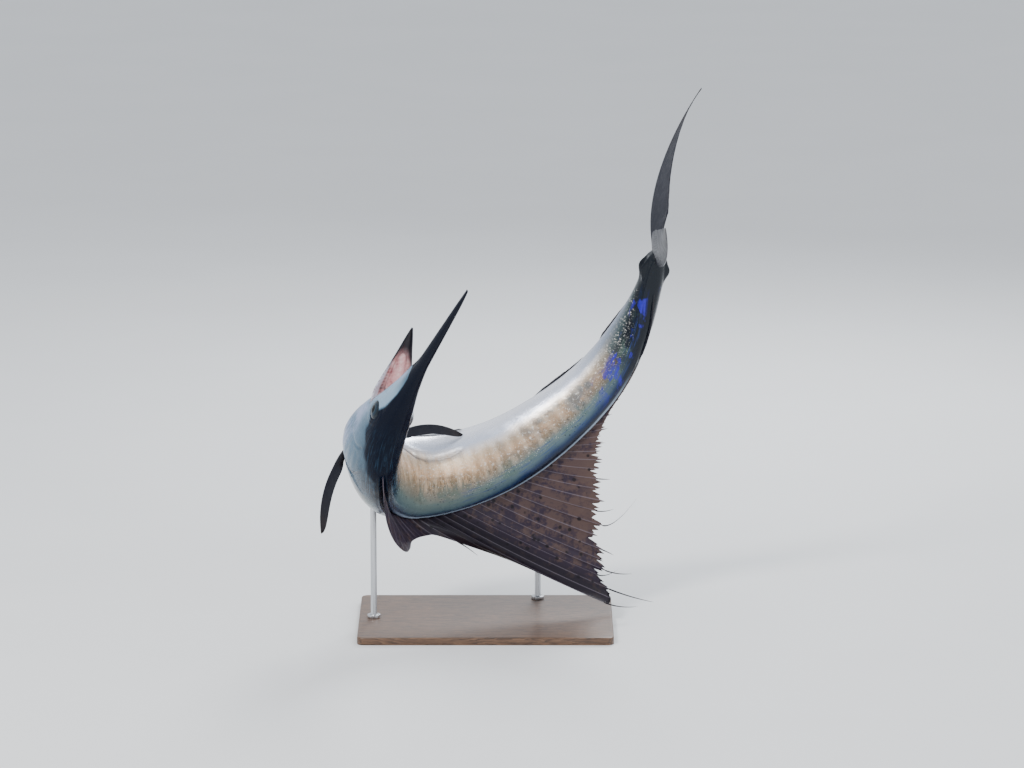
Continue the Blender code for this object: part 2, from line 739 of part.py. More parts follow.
# sail in five pieces, split along rays
all_columns, all_halves = zip(*(sail_column(k / 2) for k in range(2 * sail_rays + 1)))
all_across = normals_of(all_columns)
sail_names = ("sail_front", "sail_fore", "sail_middle", "sail_aft", "sail_rear")
for name, first, last in zip(sail_names, sail_cuts[:-1], sail_cuts[1:]):
    part = slice(2 * first, 2 * last + 1)
    columns = trimmed(all_columns[part], first > 0, last < sail_rays)
    fin = sheet(columns, all_halves[part], all_across[part])
    add(name, fin, (sail_color, 0.35, 0.0))

columns, halves = midline_fin(0.800, 0.872, 7, 1, small_dorsal, 6, 0.0016)
add("second_dorsal_fin", sheet(columns, halves), (fin_color, 0.35, 0.0))
columns, halves = midline_fin(0.792, 0.868, 7, -1, small_anal, 6, 0.0016)
add("anal_fin_second", sheet(columns, halves), (fin_color, 0.35, 0.0))
columns, halves = midline_fin(0.640, 0.735, 9, -1, first_anal, 7, 0.0018)
add("anal_fin_first", sheet(columns, halves), (fin_color, 0.35, 0.0))

for word, side, way, length, spread, bow in pectorals:
    columns, halves = pectoral_fin(side, way, length, spread, bow, 8, 12, 0.0022)
    add("pectoral_fin_" + word, sheet(columns, halves), (fin_color, 0.35, 0.0))
    columns, halves = pelvic(side)
    add("pelvic_fin_" + word, sheet(columns, halves), (fin_color, 0.35, 0.0))

for word, *shape in tail_lobes:
    columns, halves = tail_lobe(*shape)
    across = normals_of(columns)
    left = station(tail_end_share)[3]
    across[:, 0] = left * math.copysign(1.0, left.dot(across[0, 1]))
    add("tail_fin_" + word, sheet(columns, halves, across), (fin_color, 0.35, 0.0))

# the whole fish is moved so that its lowest ray clears the base
every = np.array([v for mesh in meshes.values() for v in mesh[0]])
middle = np.array(sum(sum(meshes[n][0]) / len(meshes[n][0]) for n in
                      ("head", "trunk_shoulder", "trunk_middle", "trunk_rear", "tail_stalk")) / 5)
shift = np.array((-middle[0], -middle[1], base_thick + sail_clearance - every[:, 2].min()))
for name, (verts, faces) in meshes.items():
    meshes[name] = ([v + shift for v in verts], faces)
head_rims = [([v + shift for v in verts], faces) for verts, faces in head_rims]


def plate_mesh(long_side, deep_side, thick, edge):
    """Flat base with a small bevel round its top edge."""
    rings = []
    corner = 0.02
    for inset, z in ((0.0, 0.0), (0.0, thick - edge), (edge, thick)):
        points = []
        for cx, cy, start in ((1, 1, 0), (-1, 1, 90), (-1, -1, 180), (1, -1, 270)):
            for k in range(5):
                a = math.radians(start + k * 22.5)
                x = cx * (long_side / 2 - corner) + (corner - inset) * math.cos(a)
                y = cy * (deep_side / 2 - corner) + (corner - inset) * math.sin(a)
                points.append(np.array((x, y, z)))
        rings.append(points)
    return capped(rings)


def rod_mesh(x, y, tree, low):
    """Upright rod from the base to the skin above it, its top cut to the body."""
    n = 20
    rings = []
    for radius in (rod_radius,):
        rings.append([np.array((x + radius * math.cos(2 * math.pi * k / n),
                                y + radius * math.sin(2 * math.pi * k / n), low))
                      for k in range(n)])
    tops = []
    for radius in (rod_radius, rod_radius * 0.5, 0.0):
        ring_here = []
        for k in range(n):
            px = x + radius * math.cos(2 * math.pi * k / n)
            py = y + radius * math.sin(2 * math.pi * k / n)
            hit = tree.ray_cast(Vector((px, py, low)), Vector((0, 0, 1)))
            ring_here.append(np.array((px, py, hit[0].z - gap * 3.4)))
        tops.append(ring_here)
    verts = rings[0] + tops[0] + tops[1] + [tops[2][0], np.array((x, y, low))]
    faces = []
    for k in range(n):
        i = (k + 1) % n
        faces.append((k, i, n + i))
        faces.append((k, n + i, n + k))
        faces.append((n + k, n + i, 2 * n + i))
        faces.append((n + k, 2 * n + i, 2 * n + k))
        faces.append((2 * n + k, 2 * n + i, 3 * n))
        faces.append((i, k, 3 * n + 1))
    return verts, faces


body_tree = tree_of(*(meshes[n] for n in trunk_names))
steel = ((0.55, 0.56, 0.58), 0.3, 1.0)
for name, share, aside in (("stand_rod_front", 0.345, 0.62), ("stand_rod_rear", 0.620, 0.62)):
    p, t, d, left = station(share)
    up, down, half = sizes(share)
    spot = p + shift + left * half * aside
    add(name, rod_mesh(spot[0], spot[1], body_tree, base_thick + gap), steel)
add("stand_base", plate_mesh(base_long, base_deep, base_thick, base_edge),
    ((0.05, 0.045, 0.04), 0.4, 0.0))

for name, mesh in meshes.items():
    make(name, mesh, looks[name], flat=name == "stand_base")

# the rims of the eyes and nostrils are fused into the head
rims = bpy.data.collections.new("rims")
pieces = [make("rim_" + str(k), mesh, looks["head"]) for k, mesh in enumerate(head_rims)]
for piece in pieces:
    bpy.context.scene.collection.objects.unlink(piece)
    rims.objects.link(piece)
head = bpy.data.objects["head"]
fuse = head.modifiers.new("fuse", "BOOLEAN")
fuse.operation = "UNION"
fuse.operand_type = "COLLECTION"
fuse.collection = rims
fuse.solver = "EXACT"
bpy.context.view_layer.update()
fused = bpy.data.meshes.new_from_object(head.evaluated_get(bpy.context.evaluated_depsgraph_get()))
head.modifiers.clear()
form = bmesh.new()
form.from_mesh(fused)
bmesh.ops.triangulate(form, faces=form.faces)
bmesh.ops.dissolve_degenerate(form, edges=form.edges, dist=1e-6)
bmesh.ops.triangulate(form, faces=form.faces)
form.to_mesh(head.data)
form.free()
head.data.materials.clear()
head.data.materials.append(bpy.data.materials["head_look"])
for face in head.data.polygons:
    face.material_index = 0
    face.use_smooth = True
for piece in pieces:
    bpy.data.objects.remove(piece, do_unlink=True)
bpy.data.collections.remove(rims)
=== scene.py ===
# Leaping sailfish on a plain display stand: skin, mouth, eyes, fins, stand, light and camera.
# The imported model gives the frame, and every length here is in metres.
import bpy
import math
import numpy as np
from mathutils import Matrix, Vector


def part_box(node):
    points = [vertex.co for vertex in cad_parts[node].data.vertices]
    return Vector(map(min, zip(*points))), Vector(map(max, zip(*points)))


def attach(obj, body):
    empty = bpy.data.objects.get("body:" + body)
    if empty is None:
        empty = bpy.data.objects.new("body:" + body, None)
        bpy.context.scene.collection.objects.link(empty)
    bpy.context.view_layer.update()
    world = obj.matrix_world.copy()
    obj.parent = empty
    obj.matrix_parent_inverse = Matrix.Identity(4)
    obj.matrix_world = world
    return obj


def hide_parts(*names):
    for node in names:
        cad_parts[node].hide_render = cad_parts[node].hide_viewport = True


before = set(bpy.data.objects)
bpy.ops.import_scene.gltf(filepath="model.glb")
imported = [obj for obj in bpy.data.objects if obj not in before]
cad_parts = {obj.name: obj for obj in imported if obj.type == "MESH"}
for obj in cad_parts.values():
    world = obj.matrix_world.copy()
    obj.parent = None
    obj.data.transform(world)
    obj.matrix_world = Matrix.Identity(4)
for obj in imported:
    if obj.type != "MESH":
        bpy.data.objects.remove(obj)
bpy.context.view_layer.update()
print("frame loaded:", len(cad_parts), "nodes")

# The bent spine. Places along it are shares of the length from lower jaw tip to tail fork.
fish = {"length": 1.90, "billShare": -0.202, "hingeShare": 0.150, "tailShare": 0.968,
        "mouthAngle": 33.0, "jawShare": 0.130}

# share, bearing, climb and roll of the rearward direction in degrees
spineTable = (
    (0.00, 118, -43, 200), (0.15, 118, -43, 199), (0.20, 115, -43, 189),
    (0.26, 92, -40, 165), (0.34, 60, -20, 154), (0.42, 33, -3, 164),
    (0.50, 17, 13, 169), (0.60, 6, 31, 166), (0.70, 1, 43, 162),
    (0.80, 1, 59, 157), (0.86, -12, 66, 151), (0.90, -32, 69, 150),
    (0.97, -64, 70, 158), (1.00, -70, 70, 161))

# share, height above the axis, depth below it, half width, as shares of the length
sectionTable = (
    (-0.202, 0.0008, 0.0008, 0.0009), (-0.175, 0.0026, 0.0022, 0.0028),
    (-0.10, 0.0056, 0.0044, 0.0058), (-0.02, 0.0078, 0.0058, 0.0085),
    (0.00, 0.0092, 0.0062, 0.0093), (0.05, 0.0165, 0.0220, 0.0150),
    (0.09, 0.0265, 0.0330, 0.0215), (0.125, 0.0370, 0.0400, 0.0272),
    (0.16, 0.0505, 0.0480, 0.0325), (0.20, 0.0635, 0.0570, 0.0365),
    (0.25, 0.0690, 0.0615, 0.0390), (0.35, 0.0680, 0.0640, 0.0395),
    (0.45, 0.0630, 0.0610, 0.0375), (0.55, 0.0565, 0.0555, 0.0345),
    (0.65, 0.0485, 0.0495, 0.0315), (0.75, 0.0405, 0.0415, 0.0280),
    (0.85, 0.0295, 0.0300, 0.0230), (0.92, 0.0208, 0.0208, 0.0188),
    (0.955, 0.0178, 0.0178, 0.0160), (0.98, 0.0185, 0.0185, 0.0100))

# share, depth of the line of the mouth below the axis
mouthTable = (
    (-0.30, 0.0050), (-0.02, 0.0058), (0.00, 0.0063), (0.05, 0.0095),
    (0.09, 0.0145), (0.125, 0.0200), (0.15, 0.0245), (0.18, 0.0270), (0.23, 0.0280))


def unit(v):
    return v / np.maximum(np.linalg.norm(v, axis=-1, keepdims=True), 1e-12)


def readTable(x, table, column):  # cubic through the stations of a table
    xs = [row[0] for row in table]
    ys = [row[column] for row in table]
    i = int(np.clip(np.searchsorted(xs, x, side="right") - 1, 0, len(xs) - 2))
    slopes = [(ys[k + 1] - ys[k]) / (xs[k + 1] - xs[k]) for k in range(len(xs) - 1)]
    m0 = slopes[0] if i == 0 else (slopes[i - 1] + slopes[i]) / 2
    m1 = slopes[-1] if i == len(xs) - 2 else (slopes[i] + slopes[i + 1]) / 2
    if i > 0 and slopes[i - 1] * slopes[i] <= 0:
        m0 = 0.0
    if i < len(xs) - 2 and slopes[i] * slopes[i + 1] <= 0:
        m1 = 0.0
    h = xs[i + 1] - xs[i]
    t = min(max((x - xs[i]) / h, 0.0), 1.0)
    a = (2 * t ** 3 - 3 * t ** 2 + 1) * ys[i] + (t ** 3 - 2 * t ** 2 + t) * h * m0
    b = (-2 * t ** 3 + 3 * t ** 2) * ys[i + 1] + (t ** 3 - t ** 2) * h * m1
    return a + b


def curveOf(table, column, low=0.0, high=1.0, count=241):  # a table as a quick, even lookup
    xs = np.linspace(low, high, count)
    ys = np.array([readTable(x, table, column) for x in xs])
    return lambda x: np.interp(x, xs, ys)


def ease(x, low, high):  # smooth step from 0 at low to 1 at high
    t = np.clip((np.asarray(x, dtype=float) - low) / (high - low), 0.0, 1.0)
    return t * t * (3 - 2 * t)


def wrapped(angle):  # from half a turn back to half a turn forward
    return np.where(angle > math.pi, angle - 2 * math.pi, angle)


def bell(x, width, power=2):  # 1 in the middle, falling away over the width
    return np.exp(-(x / width) ** power)


def axesOf(bearing, climb, roll):  # rearward and dorsal directions of one station
    b, c, r = (math.radians(v) for v in (bearing, climb, roll))
    rear = np.array((math.cos(c) * math.cos(b), math.cos(c) * math.sin(b), math.sin(c)))
    up = unit(np.array((0.0, 0.0, 1.0)) - rear * rear[2])
    return rear, up * math.cos(r) + np.cross(rear, up) * math.sin(r)


fineShare = np.linspace(-0.30, 1.0, 651)
turns = [[(row[0], *axesOf(*row[1:])[k]) for row in spineTable] for k in (0, 1)]
fineRear = unit(np.array([[readTable(max(s, 0.0), turns[0], c) for c in (1, 2, 3)] for s in fineShare]))
fineDorsal = np.array([[readTable(max(s, 0.0), turns[1], c) for c in (1, 2, 3)] for s in fineShare])
fineDorsal = unit(fineDorsal - fineRear * (fineDorsal * fineRear).sum(axis=1, keepdims=True))
spans = (fineRear[1:] + fineRear[:-1]) / 2 * (fineShare[1] - fineShare[0]) * fish["length"]
finePoint = np.concatenate([[np.zeros(3)], np.cumsum(spans, axis=0)])
heightAt, depthAt, halfAt = (curveOf(sectionTable, k, -0.24, 1.0, 1241) for k in (1, 2, 3))
lineAt = curveOf(mouthTable, 1, -0.24, 1.0, 1241)


def stationAt(share):  # point, rearward, dorsal and left directions at shares of the length
    out = [np.stack([np.interp(share, fineShare, line[:, k]) for k in range(3)], axis=-1)
           for line in (finePoint, fineRear, fineDorsal)]
    rear = unit(out[1])
    dorsal = unit(out[2] - rear * (out[2] * rear).sum(axis=-1, keepdims=True))
    return out[0], rear, dorsal, np.cross(dorsal, -rear)


def signed(value, exponent):
    return np.sign(value) * np.abs(value) ** exponent


jowl = math.radians(112.5)  # angle from the back at which the line of the mouth runs


def outlineAt(share, angle):  # left and up of the skin, at an angle from the back
    size = fish["length"]
    up, down, half, line = (f(share) * size for f in (heightAt, depthAt, halfAt, lineAt))
    s, c = np.sin(angle), np.cos(angle)
    x = half * signed(s, 0.93)
    y = np.where(c > 0, up, down) * signed(c, 0.93)
    bill = -line * np.abs(c) ** 0.93
    side = np.clip((np.abs(angle) - math.pi / 2) / (jowl - math.pi / 2), 0, 1)
    turn = math.pi / 2 + np.clip((np.abs(angle) - jowl) / (math.pi - jowl), 0, 1) * math.pi / 2
    below = np.abs(angle) > jowl
    faceX = np.where(below, 0.97 * half * np.sin(turn) ** 0.9, half * (1 - 0.03 * side)) * np.sign(s)
    faceY = np.where(below, -line - (down - line) * np.abs(np.cos(turn)) ** 0.9, -line * side)
    isFace = (1 - ease(share, 0.205, 0.275)) * (c <= 0)
    isBill = (1 - ease(share, -0.03, 0.02)) * (c <= 0)
    x = x * (1 - isFace) + faceX * isFace
    y = y * (1 - isFace) + faceY * isFace
    x = x * (1 - isBill) + half * signed(s, 0.93) * isBill
    return x, y * (1 - isBill) + bill * isBill


def bodyPoint(share, angle):
    p, rear, dorsal, left = stationAt(share)
    x, y = outlineAt(share, angle)
    return p + left * x[..., None] + dorsal * y[..., None]


def bodyNormal(share, angle):
    step = 0.0015
    along = bodyPoint(share + step, angle) - bodyPoint(share - step, angle)
    around = bodyPoint(share, angle + 0.03) - bodyPoint(share, angle - 0.03)
    return unit(np.cross(around, along))


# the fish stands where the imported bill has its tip
tipAngles = np.linspace(0, 2 * math.pi, 28, endpoint=False)
tipRing = bodyPoint(np.full(28, fish["billShare"]), wrapped(tipAngles))
billLow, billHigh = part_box("bill")
place = np.array((billHigh[0] - tipRing[:, 0].max(), billLow[1] - tipRing[:, 1].min(),
                  billHigh[2] - tipRing[:, 2].max()))
finePoint += place
print("fish stands at", [round(float(v), 4) for v in place])


# Small helpers for meshes and materials
def setMode(mode):
    bpy.ops.object.mode_set(mode=mode)


def deselectAll():
    if bpy.context.object and bpy.context.object.mode != "OBJECT":
        setMode("OBJECT")
    bpy.ops.object.select_all(action="DESELECT")


def pickOnly(piece):
    deselectAll()
    piece.select_set(True)
    bpy.context.view_layer.objects.active = piece


def newPiece(name):  # names what an operator has just added
    piece = bpy.context.object
    piece.name = piece.data.name = name
    return piece


def gridPiece(name, across, along):  # flat grid, selected alone, ready to be wrapped into shape
    deselectAll()
    bpy.ops.mesh.primitive_grid_add(x_subdivisions=across, y_subdivisions=along, size=1.0, calc_uvs=True)
    return newPiece(name)


def markPoints(mesh, marks):
    for name, values in marks.items():
        values = np.broadcast_to(values, len(mesh.vertices)).astype(np.float32).copy()
        mesh.attributes.new(name, "FLOAT", "POINT").data.foreach_set("value", values)


# shape(u, v) places each vertex of the grid, marks(u, v) gives its attributes
def wrapGrid(piece, shape, marks, *materials):
    mesh = piece.data
    flat = np.empty(len(mesh.vertices) * 3)
    mesh.vertices.foreach_get("co", flat)
    u, v = flat[0::3] + 0.5, flat[1::3] + 0.5
    markPoints(mesh, marks(u, v))
    mesh.vertices.foreach_set("co", np.ascontiguousarray(shape(u, v)).ravel())
    mesh.update()
    for material in materials:
        mesh.materials.append(material)
    return piece


def joinPieces(pieces, name):
    pickOnly(pieces[0])
    for piece in pieces:
        piece.select_set(True)
    bpy.ops.object.join()
    return newPiece(name)


def closeUp(piece, distance=0.00001, smooth=True):  # merge seams and poles, fill holes, turn faces outward
    pickOnly(piece)
    setMode("EDIT")
    bpy.ops.mesh.select_all(action="SELECT")
    bpy.ops.mesh.remove_doubles(threshold=distance)
    bpy.ops.mesh.select_all(action="SELECT")
    bpy.ops.mesh.fill_holes(sides=0)
    bpy.ops.mesh.select_all(action="SELECT")
    bpy.ops.mesh.normals_make_consistent(inside=False)
    setMode("OBJECT")
    if smooth:
        bpy.ops.object.shade_smooth()
    return piece


def finishPiece(piece, slot, *nodes):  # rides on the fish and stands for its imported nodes
    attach(piece, "root")
    if nodes:
        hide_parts(*nodes)
    print("made", piece.name, len(piece.data.polygons), "faces")
    return piece


def setInputs(tree, node, values):  # links sockets and sets plain values
    for key, value in values.items():
        socket = node.inputs[key.replace("_", " ") if isinstance(key, str) else key]
        if isinstance(value, bpy.types.NodeSocket):
            tree.links.new(value, socket)
        else:
            socket.default_value = value


def newMaterial(name, **values):
    material = bpy.data.materials.new(name)
    material.use_nodes = True
    shader = material.node_tree.nodes["Principled BSDF"]
    setInputs(material.node_tree, shader, values)
    return material, material.node_tree, shader


def addNode(tree, kind, inputs=None, **settings):
    node = tree.nodes.new(kind)
    for key, value in settings.items():
        setattr(node, key, value)
    setInputs(tree, node, inputs or {})
    return node


def mathNode(operation, *values):
    tree = next(value.id_data for value in values if isinstance(value, bpy.types.NodeSocket))
    return addNode(tree, "ShaderNodeMath", dict(enumerate(values)), operation=operation).outputs[0]


def plus(a, b):
    return mathNode("ADD", a, b)


def minus(a, b):
    return mathNode("SUBTRACT", a, b)


def times(a, *others):
    for b in others:
        a = mathNode("MULTIPLY", a, b)
    return a


def mixNode(factor, a, b):
    a, b = (value if isinstance(value, bpy.types.NodeSocket) else (*value, 1.0) for value in (a, b))
    return addNode(factor.id_data, "ShaderNodeMix", {0: factor, 6: a, 7: b}, data_type="RGBA").outputs[2]


def rampNode(factor, stops, interpolation="EASE"):  # stops: position, colour
    node = addNode(factor.id_data, "ShaderNodeValToRGB", {0: factor})
    node.color_ramp.interpolation = interpolation
    while len(node.color_ramp.elements) < len(stops):
        node.color_ramp.elements.new(0.5)
    for element, (position, color) in zip(node.color_ramp.elements, stops):
        element.position = position
        element.color = (*color, 1.0)
    return node.outputs[0]


def rangeNode(value, low, high, least=0.0, most=1.0, **settings):
    limits = {0: value, 1: low, 2: high, 3: least, 4: most}
    return addNode(value.id_data, "ShaderNodeMapRange", limits, **settings).outputs[0]


def maskNode(value, low, high):  # 0 at low, 1 at high
    return rangeNode(value, low, high, interpolation_type="SMOOTHSTEP")


def objectPlace(tree):
    return addNode(tree, "ShaderNodeTexCoord").outputs["Object"]


def flatPlace(x, xScale, y, yScale):  # a pattern's own place, drawn out by two scales
    values = {0: times(x, xScale), 1: times(y, yScale)}
    return addNode(x.id_data, "ShaderNodeCombineXYZ", values).outputs[0]


def noiseAt(place, scale, detail, rough):
    values = {"Vector": place, "Scale": scale, "Detail": detail, "Roughness": rough}
    return addNode(place.id_data, "ShaderNodeTexNoise", values).outputs["Fac"]


def noiseNode(tree, scale, detail, rough, stretch=None):
    place = objectPlace(tree)
    if stretch:
        place = addNode(tree, "ShaderNodeMapping", {0: place, 3: stretch}).outputs[0]
    return noiseAt(place, scale, detail, rough)


def cellNode(place, scale):
    values = {"Vector": place, "Scale": scale}
    return addNode(place.id_data, "ShaderNodeTexVoronoi", values).outputs["Distance"]


def markNode(tree, name):
    return addNode(tree, "ShaderNodeAttribute", attribute_name=name).outputs["Fac"]


def bumpNode(height, strength, distance):
    values = {"Height": height, "Strength": strength, "Distance": distance}
    return addNode(height.id_data, "ShaderNodeBump", values).outputs[0]


# Fine wet-skin grain, used by the body, jaw and fins
def makeWetGrain():
    group = bpy.data.node_groups.new("wetGrain", "ShaderNodeTree")
    for name, kind, where, default in (("Scale", "NodeSocketFloat", "INPUT", 1.0),
                                       ("Height", "NodeSocketFloat", "OUTPUT", 0.0),
                                       ("Roughness", "NodeSocketFloat", "OUTPUT", 0.25)):
        socket = group.interface.new_socket(name=name, in_out=where, socket_type=kind)
        socket.default_value = default
    inside = addNode(group, "NodeGroupInput")
    outside = addNode(group, "NodeGroupOutput")
    values = {0: objectPlace(group), "Scale": inside.outputs["Scale"]}
    scaled = addNode(group, "ShaderNodeVectorMath", values, operation="SCALE").outputs[0]
    fine = noiseAt(scaled, 900.0, 2.0, 0.5)
    broad = noiseAt(scaled, 38.0, 5.0, 0.6)
    height = plus(times(cellNode(scaled, 420.0), 0.5), times(fine, 0.35))
    height = plus(height, times(broad, 1.1))
    rough = rangeNode(broad, 0.3, 0.7, 0.16, 0.34)
    setInputs(group, outside, {"Height": height, "Roughness": rough})
    return group


wetGrain = makeWetGrain()


def grainOf(tree, scale):
    node = addNode(tree, "ShaderNodeGroup", node_tree=wetGrain)
    setInputs(tree, node, {"Scale": scale})
    return node.outputs["Height"], node.outputs["Roughness"]


# Skin of the body, by height round the flank and share along it
skinLook = {
    "back": (0.004, 0.007, 0.017),
    "cap": (0.001, 0.003, 0.011),
    "capStreak": (0.012, 0.030, 0.055),
    "deepBlue": (0.010, 0.026, 0.075),
    "slate": (0.080, 0.125, 0.145),
    "olive": (0.130, 0.175, 0.165),
    "green": (0.075, 0.125, 0.105),
    "bronzeDark": (0.26, 0.175, 0.10),
    "bronze": (0.66, 0.41, 0.235),
    # ridge: painted highlight, a whitish-pink band of light along the flank
    "bar": (0.82, 0.66, 0.50),
    "ridge": (0.84, 0.76, 0.70),
    "silver": (0.62, 0.67, 0.80),
    "white": (0.84, 0.86, 0.93),
    "cheekDark": (0.020, 0.040, 0.062),
    "cheek": (0.055, 0.110, 0.165),
    "cheekPale": (0.125, 0.215, 0.315),
    "pale": (0.25, 0.37, 0.49),
    "violet": (0.026, 0.018, 0.40),
    "tailBack": (0.004, 0.007, 0.012),
    "tailBelly": (0.26, 0.31, 0.40),
    # painted highlight: a pale grey-blue strip of light along the ridge of the sail groove
    "grooveHighlightAndMouthStreaks": (0.30, 0.37, 0.46),
    "copper": (0.66, 0.49, 0.34),
    "dulled": (0.135, 0.155, 0.165),
    "blueSheen": (0.02, 0.045, 0.20),
    "thread": (0.88, 0.58, 0.36),
    "glint": (0.80, 0.82, 0.78),
    # painted highlight: whitish-pink patches of light on the wet flank
    "paintedHighlightPatch": (0.92, 0.88, 0.82),
    "wrinkle": (0.40, 0.47, 0.68),
    "lilac": (0.50, 0.52, 0.74),
    # painted shade: dark lines in the grooves, in the flank fold and at the gill edges; the same colour
    # draws the real lateral line
    "creaseShadeAndSideLine": (0.022, 0.027, 0.042),
    "tailDark": (0.05, 0.075, 0.080),
    "tailGrey": (0.16, 0.19, 0.22),
    "tailEnd": (0.46, 0.50, 0.61),
    "jowl": (0.24, 0.35, 0.52),
    "chin": (0.52, 0.62, 0.76),
}

# colours from the back, at 0, to the belly, at 1
skinRamps = {
    # the ridge stop at 0.635 paints a highlight band along the flank into the trunk colours
    "trunk": ((0.13, "back"), (0.20, "deepBlue"), (0.27, "slate"), (0.36, "olive"), (0.43, "bronzeDark"),
              (0.50, "bronze"), (0.58, "copper"), (0.635, "ridge"), (0.70, "silver"), (0.86, "white")),
    "tail": ((0.46, "tailBack"), (0.56, "tailDark"), (0.66, "tailGrey"), (0.76, "tailBelly"),
             (0.95, "tailEnd")),
    "face": ((0.14, "cap"), (0.26, "cheekDark"), (0.42, "cheek"), (0.56, "cheekPale"), (0.72, "jowl"),
             (0.90, "chin")),
}

# strength and colour of each layer, then its limits: a field, where the layer is absent, where it is full
onFlank = (("level", 0.33, 0.45), ("level", 0.70, 0.60))
onTrunk = (("along", 0.235, 0.27), ("along", 0.80, 0.62))
behindHead, beforeStalk = ("along", 0.24, 0.30), ("along", 0.90, 0.82)
skinLayers = {
    "trunk": (
        # green and blue sheen over the lower back
        (0.55, "green", ("level", 0.24, 0.31), ("level", 0.50, 0.40), beforeStalk, ("patchy", 0.50, 0.62)),
        (0.6, "blueSheen", ("level", 0.17, 0.23), ("level", 0.42, 0.32), ("streak", 0.50, 0.64),
         ("along", 0.38, 0.55)),
        # bars of pale spots with dark gaps, broken up, and bright upright threads
        (0.30, "bar", ("bars", 1.75, 2.9), *onFlank, *onTrunk),
        (0.30, "bronzeDark", ("gaps", -1.0, -2.0), *onFlank, *onTrunk),
        (0.55, "thread", ("threads", 0.48, 0.62), *onFlank, ("along", 0.235, 0.27), ("along", 0.62, 0.40)),
        # dark speckles over the lower back, bright scale glints over the flank
        (0.55, "back", ("speckles", 0.56, 0.40), ("level", 0.16, 0.26), ("level", 0.58, 0.38),
         ("along", 0.24, 0.32)),
        (0.60, "glint", ("sparks", 0.62, 0.72), ("level", 0.26, 0.36), ("level", 0.80, 0.62),
         behindHead, beforeStalk),
        # whitish-pink patches of painted highlight over the bronze flank
        (0.65, "paintedHighlightPatch", ("highlightPatchField", 0.56, 0.66), ("level", 0.38, 0.48), ("level", 0.74, 0.60), behindHead),
        # bluish wrinkles on the belly, dark stalk, electric violet patches on the back of the tail
        (0.40, "wrinkle", ("wrinkles", 0.48, 0.66), ("level", 0.60, 0.72)),
        (1.0, "tailBack", ("along", 0.885, 0.935), ("high", 0.80, 0.66)),
        (1.0, "violet", ("patches", 0.535, 0.60), ("streak", 0.38, 0.54), ("along", 0.70, 0.80),
         ("along", 0.93, 0.90), ("high", 0.10, 0.2), ("high", 0.54, 0.46)),
    ),
    # darker and lilac clouds on the cheek, grey streaks back over the nape
    "face": (
        (0.5, "cheek", ("patchy", 0.44, 0.60), ("level", 0.66, 0.50)),
        (0.5, "lilac", ("cloud", 0.46, 0.60), ("level", 0.50, 0.66)),
        (0.55, "cheek", ("streak", 0.48, 0.60), ("along", 0.17, 0.20)),
    ),
}


def limitsOf(fields, limits, strength=1.0):  # product of masks
    for field, low, high in limits:
        strength = times(strength, maskNode(fields[field], low, high))
    return strength


def layered(color, fields, layers):
    for strength, name, *limits in layers:
        color = mixNode(limitsOf(fields, limits, strength), color, skinLook[name])
    return color


def skinRamp(level, name):
    stops = [(place, skinLook[color]) for place, color in skinRamps[name]]
    return rampNode(level, [(0.0, stops[0][1])] + stops, "LINEAR")


